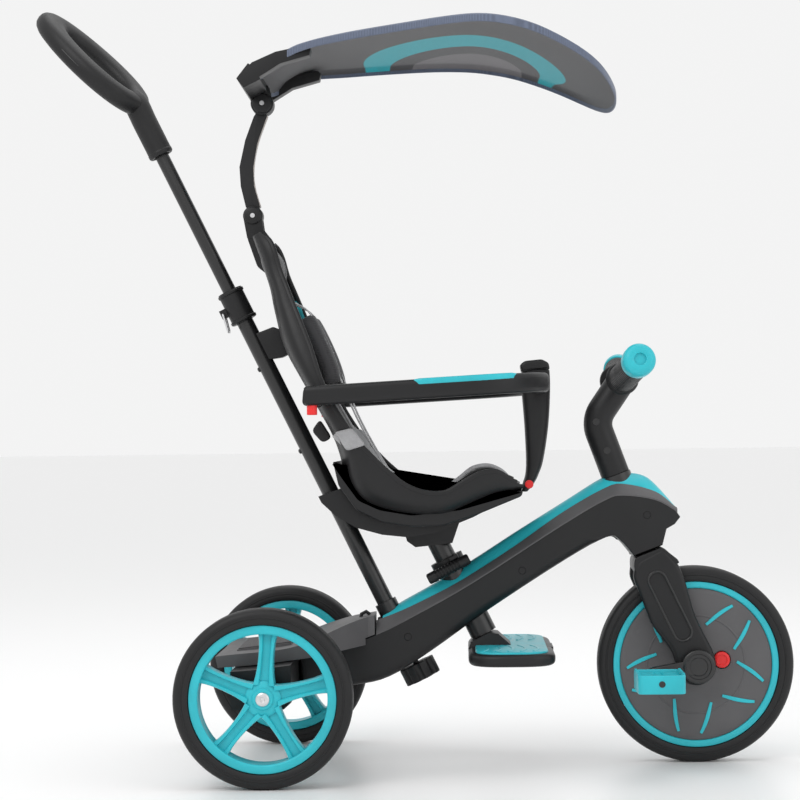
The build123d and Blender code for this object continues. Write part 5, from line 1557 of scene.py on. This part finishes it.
class TRICYCLE_OT_padding(bpy.types.Operator):
    """Seat liner, headrest pad and shoulder pads, puffed by cloth simulation"""

    bl_idname = "tricycle.padding"
    bl_label = "Padding"

    def execute(self, context):
        puff = context.scene.tricycle_sizes.puff
        liner = solid("seat_liner_finished", SEAT.pad(
            0.21, 0.90, -0.74, 0.74, SHELL_WALL + 0.6, SHELL_WALL + 8, 60, 26, 2.0
        ))
        swollen(liner, 5, 4, puff * 0.5)
        channels = [
            lambda p, y=y: abs(p.y) - y for y in (38, 82)
        ] + [lambda p, z=z: p.z - z for z in (470, 532, 590)]
        stitched(liner, channels, 5, 2.6)
        publish(liner, "seat", "liner cloth", "seat_liner")
        head = solid("headrest_pad_finished", SEAT.pad(
            0.035, 0.19, -0.62, 0.62, SHELL_WALL + 0.6, SHELL_WALL + 10, 18, 20, 3.0, 0.4
        ))
        swollen(head, 4, 4, puff)
        stitched(head, [lambda p: abs(p.y) - 34], 4, 2.2)
        publish(head, "seat", "pad cloth", "headrest_pad")
        self.shoulder_pads(puff)
        self.liner_piping()
        self.side_wings()
        return {"FINISHED"}

    def shoulder_pads(self, puff):
        """Long pads round both shoulder straps."""
        line = [(-136, 583), (-127, 566), (-117, 544), (-107, 519), (-100, 496)]
        part = solid("shoulder_pads_finished", joined(*[
            sweep([(x, side * 46.5, z) for x, z in curve(line, 4)],
                  block_section(23, 32, 6), (0, 1, 0))
            for side in (-1, 1)
        ]))
        swollen(part, 4, 4, puff * 0.5)
        stitched(part, [lambda p: abs(abs(p.y) - 46.5) - 10], 3, 1.4)
        publish(part, "seat", "pad cloth", "shoulder_pads")

    def liner_piping(self):
        """Pale piping sewn along the liner's edges and across the thighs."""
        paths = []
        for side in (-1, 1):
            paths.append([
                tuple(SEAT.lifted(0.215 + 0.68 * k / 60, side * 0.72, SHELL_WALL + 7.5))
                for k in range(61)
            ])
        paths.append([
            tuple(SEAT.lifted(0.893, -0.66 + 1.32 * k / 20, SHELL_WALL + 7)) for k in range(21)
        ])
        for side in (-1, 1):
            paths.append([
                (x, side * 60, z) for x, z in curve(
                    [(44, 360), (60.5, 372), (78, 385), (98.7, 388), (116, 381), (126, 370)], 6)
            ])
        piping = joined(*[sweep(path, circle_section(2.1, 10), (0, 0.3, 1)) for path in paths])
        publish(solid("liner_piping", piping, radians(60)), "seat", "piping")

    def side_wings(self):
        """Turquoise wing panels of the liner beside the shoulders."""
        wings = []
        for v0, v1 in ((-0.9, -0.7), (0.7, 0.9)):
            for start, end, top in ((0.215, 0.31, 20), (0.66, 0.74, 11)):
                wings.append(SEAT.pad(
                    start, end, v0, v1, SHELL_WALL + 2, SHELL_WALL + top, 12, 8, 2.0, 0.3
                ))
        piece = solid("liner_wings", joined(*wings), radians(60))
        publish(piece, "seat", "turquoise cloth")


class TRICYCLE_OT_harness(bpy.types.Operator):
    """Shoulder, lap and crotch webbing, strap slides and the buckle"""

    bl_idname = "tricycle.harness"
    bl_label = "Harness"

    def execute(self, context):
        shoulder = [
            (-158, 46.5, 606), (-146, 46.5, 600), (-131, 46.5, 589), (-112, 46.5, 556),
            (-95, 46, 512), (-74, 42, 458), (-50, 34, 412), (-30, 24, 380), (-16, 18, 366),
        ]
        lap = [
            (-92, 119, 436), (-80, 117, 424), (-68, 108, 408), (-52, 84, 388),
            (-34, 56, 374), (-20, 32, 366), (-12, 18, 364),
        ]
        bands = []
        for line in (shoulder, lap):
            path = curve(line, 5)
            up = (0, 1, 0) if line is shoulder else (1, 0, 0.2)
            band = sweep(path, block_section(1.8, 22, 0.7, 2), up)
            bands += [band, mirrored(band)]
        crotch = curve([(20, 0, 334), (16, 0, 344), (8, 0, 354), (2, 0, 360)], 4)
        bands.append(sweep(crotch, block_section(1.8, 24, 0.7, 2), (0, 1, 0)))
        webbing = solid("harness_straps_finished", joined(*bands))
        publish(webbing, "seat", "webbing", "harness_straps")
        self.slides()
        self.buckle()
        return {"FINISHED"}

    def slides(self):
        """Strap slides: flat frames with a middle bar."""
        places = [(Vector((-84, 44, 482)), 1), (Vector((-84, -44, 482)), -1)]
        frames = []
        for place, side in places:
            for dy, width in ((-14, 3.2), (14, 3.2)):
                frames.append(slab(
                    softened([(place.x - 9, place.z + 14), (place.x - 4, place.z + 16),
                              (place.x + 5, place.z - 12), (place.x, place.z - 14)], 2),
                    place.y + dy - width / 2, place.y + dy + width / 2, 0.8, 2,
                ))
            for dx, dz in ((-6, 13.5), (2.5, -11.5), (-2, 1)):
                frames.append(lathe(
                    [(-13, 0.01), (-13, 2), (13, 2), (13, 0.01)],
                    (place.x + dx, place.y, place.z + dz), 16,
                ))
        publish(solid("strap_slides", joined(*frames)), "seat", "black shell")
        blocks = joined(*[
            slab(softened([(-96, 434), (-74, 439), (-57, 417), (-81, 410)], 4),
                 *sorted((side * 122, side * 133.5)), 2, 3)
            for side in (-1, 1)
        ])
        publish(solid("lap_strap_blocks", blocks), "seat", "piping")

    def buckle(self):
        """Rounded buckle housing with a generic round push button."""
        low, high = box("harness_buckle")
        mid = middle("harness_buckle")
        body = softened([
            (low.x + 1, low.y + 4), (high.x - 6, low.y + 12), (high.x, -12), (high.x, 12),
            (high.x - 6, high.y - 12), (low.x + 1, high.y - 4),
        ], 10, 4)
        rings = []
        for k in range(5):
            a = pi / 2 * k / 4
            rings.append([(x, y, low.z + 3.4 * (1 - cos(a))) for x, y in
                          shrunk(body, [3.4 * (1 - sin(a))] * len(body))])
        for k in range(4, -1, -1):
            a = pi / 2 * k / 4
            rings.append([(x, y, high.z - 3.4 * (1 - cos(a))) for x, y in
                          shrunk(body, [3.4 * (1 - sin(a))] * len(body))])
        publish(solid("harness_buckle_finished", loft(rings)), "seat", "black shell",
                "harness_buckle")
        button = spun(
            [(-4, 0.01), (-4, 9), (1.4, 9), (2.4, 8), (2.0, 5), (1.6, 0.01)],
            (mid.x, 0, high.z), (0, 0, 1), 36,
        )
        publish(solid("buckle_button", button), "seat", "dark grey disc")


# ---- canopy ----------------------------------------------------------------------
CANOPY_LINE = [
    (-196, 893), (-166, 913), (-136, 927), (-88, 934), (-20, 941), (50, 946.5),
    (100, 946), (150, 936), (200, 915.5), (240, 892), (270, 866),
]
CANOPY_PLAN = [
    (-136, 122), (-88, 148), (11, 180), (90, 210), (130, 215), (179, 207), (235, 172),
    (262, 100),
]
ARM_FRONT = [(-186.5, 850.6), (-199.6, 815.5), (-205.5, 783.6), (-204.5, 758.3), (-197, 731.3)]
CROWN = 7.0
CLOTH = 1.2
HEM_DROP = 7.0


def canopy_outline(per=9):
    """Plan outline of the cloth, counter-clockwise from the rear right corner."""
    right = [(x, -y) for x, y in CANOPY_PLAN]
    left = [(x, y) for x, y in reversed(CANOPY_PLAN)]
    bow = curve(right + [(269.5, 0)] + left, per)
    rear = curve([(-136, 122), (-168, 108), (-188, 76), (-194, 0), (-188, -76), (-168, -108),
                  (-136, -122)], 4)
    return bow + rear[1:-1]


class TRICYCLE_OT_canopy(bpy.types.Operator):
    """Folding arm, bracket, hinge pins and the one-piece printed cloth"""

    bl_idname = "tricycle.canopy"
    bl_label = "Canopy"

    def execute(self, context):
        publish(refined("canopy_arm", 3.5), "canopy_arm", "black shell", "canopy_arm")
        publish(refined("canopy_bracket", 2.5), "canopy", "black shell", "canopy_bracket")
        publish(
            refined("canopy_hinge_pins", 0.8), "canopy_arm", "black shell", "canopy_hinge_pins"
        )
        strip = sweep(
            [(x + 0.4, 0, z) for x, z in curve(ARM_FRONT, 5)], block_section(1.6, 8.5, 0.6, 2),
            (0, 1, 0),
        )
        publish(solid("canopy_arm_strip", strip), "canopy_arm", "pale trim")
        self.hub_caps()
        self.cloth(context.scene.tricycle_sizes)
        return {"FINISHED"}

    def hub_caps(self):
        """Round covers over both hinges, with a small pale centre."""
        caps, dots = [], []
        for joint, radius in (("canopy_arm_tilt", 11.5), ("canopy_tilt", 13.0)):
            hub = pivot(joint)
            for side in (-1, 1):
                start = side * 14.0
                caps.append(lathe([
                    (start, 0.01), (start, radius), (start + side * 1.6, radius - 1),
                    (start + side * 2.4, radius - 4), (start + side * 2.6, 0.01),
                ], (hub.x, 0, hub.z), 36))
                dots.append(lathe([
                    (side * 16.2, 0.01), (side * 16.2, 3.4), (side * 17.1, 3.0),
                    (side * 17.1, 0.01),
                ], (hub.x, 0, hub.z), 20))
        publish(solid("canopy_hub_caps", joined(*caps)), "canopy_arm", "black shell")
        publish(solid("canopy_hub_dots", joined(*dots)), "canopy_arm", "bright steel")

    def cloth(self, sizes):
        """Curved cloth printed underneath, with its bound edge."""
        line = curve(CANOPY_LINE, 4)
        outline = canopy_outline()
        centre = Vector((74, 0))
        steps = 26

        def place(x, y, share, under):
            height = height_at(line, max(-196, min(270, x))) + CROWN * (1 - share ** 2)
            if share > 0.955:
                height -= HEM_DROP * ((share - 0.955) / 0.045) ** 2
            return (x, y, height - (CLOTH if under else 0))

        verts, faces = [], []
        count = len(outline)
        for under in (False, True):
            base = len(verts)
            verts.append(place(*centre, 0, under))
            for k in range(1, steps + 1):
                share = 1 - (1 - k / steps) ** 1.35
                for x, y in outline:
                    spot = centre + (Vector((x, y)) - centre) * share
                    verts.append(place(*spot, share, under))
            for j in range(count):
                nxt = (j + 1) % count
                faces.append((base, base + 1 + j, base + 1 + nxt))
                for k in range(steps - 1):
                    a, b = base + 1 + k * count, base + 1 + (k + 1) * count
                    faces.append((a + j, b + j, b + nxt, a + nxt))
        low, high = 1 + (steps - 1) * count, len(verts) // 2 + 1 + (steps - 1) * count
        for j in range(count):
            nxt = (j + 1) % count
            faces.append((low + j, high + j, high + nxt, low + nxt))
        sheet = solid("canopy_sheet_finished", (verts, faces), radians(60))
        publish(sheet, "canopy", "canopy cloth", "canopy_sheet")
        sheet.data.materials.append(material("canopy hem"))
        for face in sheet.data.polygons:
            face.material_index = 0 if face.normal.z < -0.2 else 1
        path = [place(x, y, 1, False) for x, y in outline]
        hem = sweep(path, block_section(2.2, sizes.hem_width, 1.0, 3), (0, 0, 1), closed=True)
        piece = solid("canopy_hem", hem)
        publish(piece, "canopy", "canopy hem")


# ---- safety ring -----------------------------------------------------------------
RING_START = Vector((-131, 0, 466.5))
RING_ALONG = Vector((cos(radians(2.9)), 0, sin(radians(2.9))))
RING_NORMAL = Vector((-sin(radians(2.9)), 0, cos(radians(2.9))))
RAIL_HALF = 154.0
RAIL_LENGTH = 298.0
RAIL_CORNER = 84.0
# Height, rear and front of the front post
POST_ROWS = [
    (512, 143, 180), (486, 143, 180.5), (440, 146.1, 177.6), (395, 147.7, 170.4),
    (376, 146.5, 164), (366, 143.5, 159), (358, 142, 153), (353.5, 141.5, 149),
]
CAP_OUTLINE = [(143, 509), (180, 512), (178.6, 521), (169.7, 526), (147.2, 524), (141, 519)]


def rail_path(start, turns):
    """Rail centre line as (along, across) pairs, from a start round to the other side."""
    half = [(start, -RAIL_HALF)]
    span = RAIL_LENGTH - RAIL_CORNER - start
    half += [(start + span * k / 12, -RAIL_HALF) for k in range(1, 12)]
    for k in range(turns + 1):
        a = pi / 2 * k / turns
        half.append((
            RAIL_LENGTH - RAIL_CORNER + RAIL_CORNER * sin(a),
            -RAIL_HALF + RAIL_CORNER * (1 - cos(a)),
        ))
    return half + [(s, -t) for s, t in reversed(half)]


def on_ring(along, across, height):
    """Point in the ring's own plane."""
    point = RING_START + RING_ALONG * along + RING_NORMAL * height
    return (point.x, across, point.z)


class TRICYCLE_OT_safety_ring(bpy.types.Operator):
    """Rounded rail with its front post, cap, turquoise bands and red buttons"""

    bl_idname = "tricycle.safety_ring"
    bl_label = "Safety ring"

    def execute(self, context):
        path = [on_ring(s, t, 12.5) for s, t in rail_path(0, 16)]
        scales = [(1, 1)] * len(path)
        for k, size in enumerate((0.82, 0.93, 0.98)):
            scales[k] = scales[-1 - k] = (size, size)
        path[1], path[2] = on_ring(1.6, -RAIL_HALF, 12.5), on_ring(5, -RAIL_HALF, 12.5)
        path[-2], path[-3] = on_ring(1.6, RAIL_HALF, 12.5), on_ring(5, RAIL_HALF, 12.5)
        rail = sweep(path, block_section(22, 25, 7, 5), RING_NORMAL, scales=scales)
        post = loft([
            [((rear + front) / 2 + (front - rear) / 2 * x, 17 * y, z) for x, y in [
                (abs(cos(t)) ** 0.75 * (1 if cos(t) > 0 else -1),
                 abs(sin(t)) ** 0.75 * (1 if sin(t) > 0 else -1))
                for t in (2 * pi * k / 48 for k in range(48))
            ]]
            for z, rear, front in curve(POST_ROWS, 4)
        ])
        ring = merged("safety_ring_finished", solid("rail", rail), solid("post", post))
        publish(ring, "safety_ring", "black shell", "safety_ring")
        cap = slab(softened(CAP_OUTLINE, 3, 4), -18, 18, 3.5, 4)
        publish(solid("ring_post_cap_finished", cap), "safety_ring", "black shell",
                "ring_post_cap")
        bands = []
        turn = rail_path(138, 20)[:28]
        line = [
            on_ring(s, t - 3.6, 21.4) for s, t in turn if t < -135 or s < RAIL_LENGTH - RAIL_CORNER
        ]
        ends = [(1, 1)] * len(line)
        ends[0] = ends[-1] = (0.7, 0.8)
        band = sweep(line, block_section(16, 8.8, 3.4, 4), RING_NORMAL, scales=ends)
        bands += [band, mirrored(band)]
        publish(solid("ring_inlays_finished", joined(*bands)), "safety_ring", "turquoise",
                "ring_inlays")
        for name in ("ring_button_left", "ring_button_right", "ring_button_front"):
            publish(refined(name, 1.2), BODY_OF[name], "red", name)
        return {"FINISHED"}


# ---- footrest --------------------------------------------------------------------
class TRICYCLE_OT_footrest(bpy.types.Operator):
    """Plug-in bracket and the ribbed turquoise platform"""

    bl_idname = "tricycle.footrest"
    bl_label = "Footrest"

    def execute(self, context):
        away = [(60, 130), (190, 130), (190, 160), (60, 160)]
        neck = carved(
            refined("footrest_bracket", 1.5), slab(away, -160, -30.6, 0.1, 1),
            slab(away, 30.6, 160, 0.1, 1),
        )
        plan = [(69, -150), (179, -150), (179, 150), (69, 150)]
        plate = solid("platform", tablet(softened(plan, 46, 8), 137.5, 153, 6, 5))
        publish(merged("footrest_bracket_finished", neck, plate), "footrest", "black shell",
                "footrest_bracket")
        top = solid("top", tablet(softened([
            (78, -141), (170, -141), (170, 141), (78, 141)], 40, 8), 150, 155.5, 1.8, 3))
        ribs = []
        for offset in (-30, -14, 2, 18, 34):
            path = [
                (124 + offset - 11 * ((y - 84) / 50) ** 2, y, 155.4)
                for y in (40 + 6 * k for k in range(15))
            ]
            rib = sweep(path, block_section(3.4, 1.8, 0.8, 3), (0, 0, 1))
            ribs += [rib, mirrored(rib)]
        pad = merged("footrest_pad_finished", top, solid("ribs", joined(*ribs)))
        publish(pad, "footrest", "turquoise", "footrest_pad")
        return {"FINISHED"}


# ---- carried-over nodes ----------------------------------------------------------
NODE_FINISH = {
    "steel_chassis": "black tube", "frame_screws": "bright steel", "rear_axle": "bright steel",
    "rear_axle_nuts": "bright steel", "rear_axle_cover": "black shell",
    "head_bushes": "black shell", "crank_bushes": "black shell", "stem_bolts": "bright steel",
    "drive_button": "red", "front_tyre": "tyre", "rear_tyre_left": "tyre",
    "rear_tyre_right": "tyre", "grips": "grip", "grip_end_caps": "turquoise",
    "handlebar": "black tube", "stem": "black shell", "frame_top_strip": "turquoise",
    "frame_top_cover": "grey shell", "pedal_left": "turquoise", "pedal_right": "turquoise",
    "front_rim": "turquoise", "rear_rim_left": "turquoise", "rear_rim_right": "turquoise",
    "front_disc_left": "dark grey disc", "front_disc_right": "dark grey disc",
}


class TRICYCLE_OT_fittings(bpy.types.Operator):
    """Finishes for every node that keeps its own shape"""

    bl_idname = "tricycle.fittings"
    bl_label = "Fittings"

    def execute(self, context):
        for name, node in frame["nodes"].items():
            finish = NODE_FINISH.get(name, "black shell")
            node.data.materials.clear()
            node.data.materials.append(material(finish))
        return {"FINISHED"}


# ---- scene -----------------------------------------------------------------------
CAMERA_PLACE = (0.0662, -3.125, 0.42815)
CAMERA_LENS = 107.2
CAMERA_YAW = 1.515
CAMERA_PITCH = 0.863
CAMERA_ROLL = -0.714


def area_light(name, place, target, size, power, tint=(1, 1, 1)):
    """Soft light aimed at a point."""
    light = bpy.data.lights.new(name, "AREA")
    light.shape = "RECTANGLE"
    light.size, light.size_y = size
    light.energy = power
    light.color = tint
    lamp = bpy.data.objects.new(name, light)
    lamp.location = place
    aim = Vector(target) - Vector(place)
    lamp.rotation_euler = aim.to_track_quat("-Z", "Y").to_euler()
    bpy.context.scene.collection.objects.link(lamp)
    return lamp


class TRICYCLE_OT_stage(bpy.types.Operator):
    """Pale floor, soft light, pale surroundings and the camera"""

    bl_idname = "tricycle.stage"
    bl_label = "Studio"

    def execute(self, context):
        scene = context.scene
        ground = bpy.data.meshes.new("studio_floor")
        reach = 60.0
        ground.from_pydata(
            [(-reach, -reach, 0), (reach, -reach, 0), (reach, reach, 0), (-reach, reach, 0)],
            [], [(0, 1, 2, 3)],
        )
        floor = bpy.data.objects.new("studio_floor", ground)
        scene.collection.objects.link(floor)
        pale = bpy.data.materials.new("pale floor")
        pale.use_nodes = True
        surface = pale.node_tree.nodes["Principled BSDF"]
        surface.inputs["Base Color"].default_value = (0.92, 0.92, 0.92, 1)
        surface.inputs["Roughness"].default_value = 0.36
        ground.materials.append(pale)
        world = bpy.data.worlds.new("pale studio")
        scene.world = world
        world.use_nodes = True
        sky = world.node_tree.nodes["Background"]
        sky.inputs["Color"].default_value = (1.0, 1.0, 1.0, 1)
        sky.inputs["Strength"].default_value = 0.9
        scene.view_settings.view_transform = "Standard"
        lamps = [
            area_light("key", (-1.4, -2.2, 2.6), (0, 0, 0.45), (1.8, 1.8), 26),
            area_light("fill", (2.4, -1.8, 1.4), (0.1, 0, 0.4), (2.2, 1.8), 10),
            area_light("top", (0.2, 0.4, 3.0), (0, 0, 0.4), (2.4, 2.4), 22),
        ]
        lens = bpy.data.cameras.new("studio_camera")
        lens.lens = CAMERA_LENS
        lens.sensor_width = 36.0
        lens.dof.use_dof = False
        camera = bpy.data.objects.new("studio_camera", lens)
        yaw, pitch = radians(CAMERA_YAW), radians(CAMERA_PITCH)
        ahead = Vector((-sin(yaw) * cos(pitch), cos(yaw) * cos(pitch), sin(pitch)))
        camera.rotation_mode = "QUATERNION"
        facing = ahead.to_track_quat("-Z", "Y")
        camera.rotation_quaternion = facing @ Matrix.Rotation(
            radians(CAMERA_ROLL), 4, "Z"
        ).to_quaternion()
        camera.location = CAMERA_PLACE
        scene.collection.objects.link(camera)
        scene.camera = camera
        return {"FINISHED"}


# ---- add-on ----------------------------------------------------------------------
OPERATORS = (
    TRICYCLE_OT_frame_body, TRICYCLE_OT_rear_deck, TRICYCLE_OT_front_wheel,
    TRICYCLE_OT_rear_wheels, TRICYCLE_OT_fork, TRICYCLE_OT_handlebar, TRICYCLE_OT_cranks,
    TRICYCLE_OT_push_bar, TRICYCLE_OT_seat, TRICYCLE_OT_padding, TRICYCLE_OT_harness,
    TRICYCLE_OT_canopy, TRICYCLE_OT_safety_ring, TRICYCLE_OT_footrest,
    TRICYCLE_OT_fittings, TRICYCLE_OT_stage,
)


class TRICYCLE_PT_panel(bpy.types.Panel):
    """Settings and one button for each group of pieces"""

    bl_idname = "TRICYCLE_PT_panel"
    bl_label = "Tricycle"
    bl_space_type = "VIEW_3D"
    bl_region_type = "UI"
    bl_category = "Tricycle"

    def draw(self, context):
        layout = self.layout
        for group in (context.scene.tricycle_sizes, context.scene.tricycle_colours):
            box_of_settings = layout.box()
            for name in group.__annotations__:
                box_of_settings.prop(group, name)
        for operator in OPERATORS:
            layout.operator(operator.bl_idname)


def register():
    """Adds the settings, operators and panel."""
    for item in (TricycleSizes, TricycleColours, *OPERATORS, TRICYCLE_PT_panel):
        bpy.utils.register_class(item)
    bpy.types.Scene.tricycle_sizes = bpy.props.PointerProperty(type=TricycleSizes)
    bpy.types.Scene.tricycle_colours = bpy.props.PointerProperty(type=TricycleColours)


def unregister():
    """Takes them away again."""
    del bpy.types.Scene.tricycle_sizes
    del bpy.types.Scene.tricycle_colours
    for item in (TRICYCLE_PT_panel, *reversed(OPERATORS), TricycleColours, TricycleSizes):
        bpy.utils.unregister_class(item)


def main():
    """Makes every piece and the studio."""
    register()
    for operator in OPERATORS:
        group, name = operator.bl_idname.split(".")
        getattr(getattr(bpy.ops, group), name)()


if __name__ == "__main__":
    main()
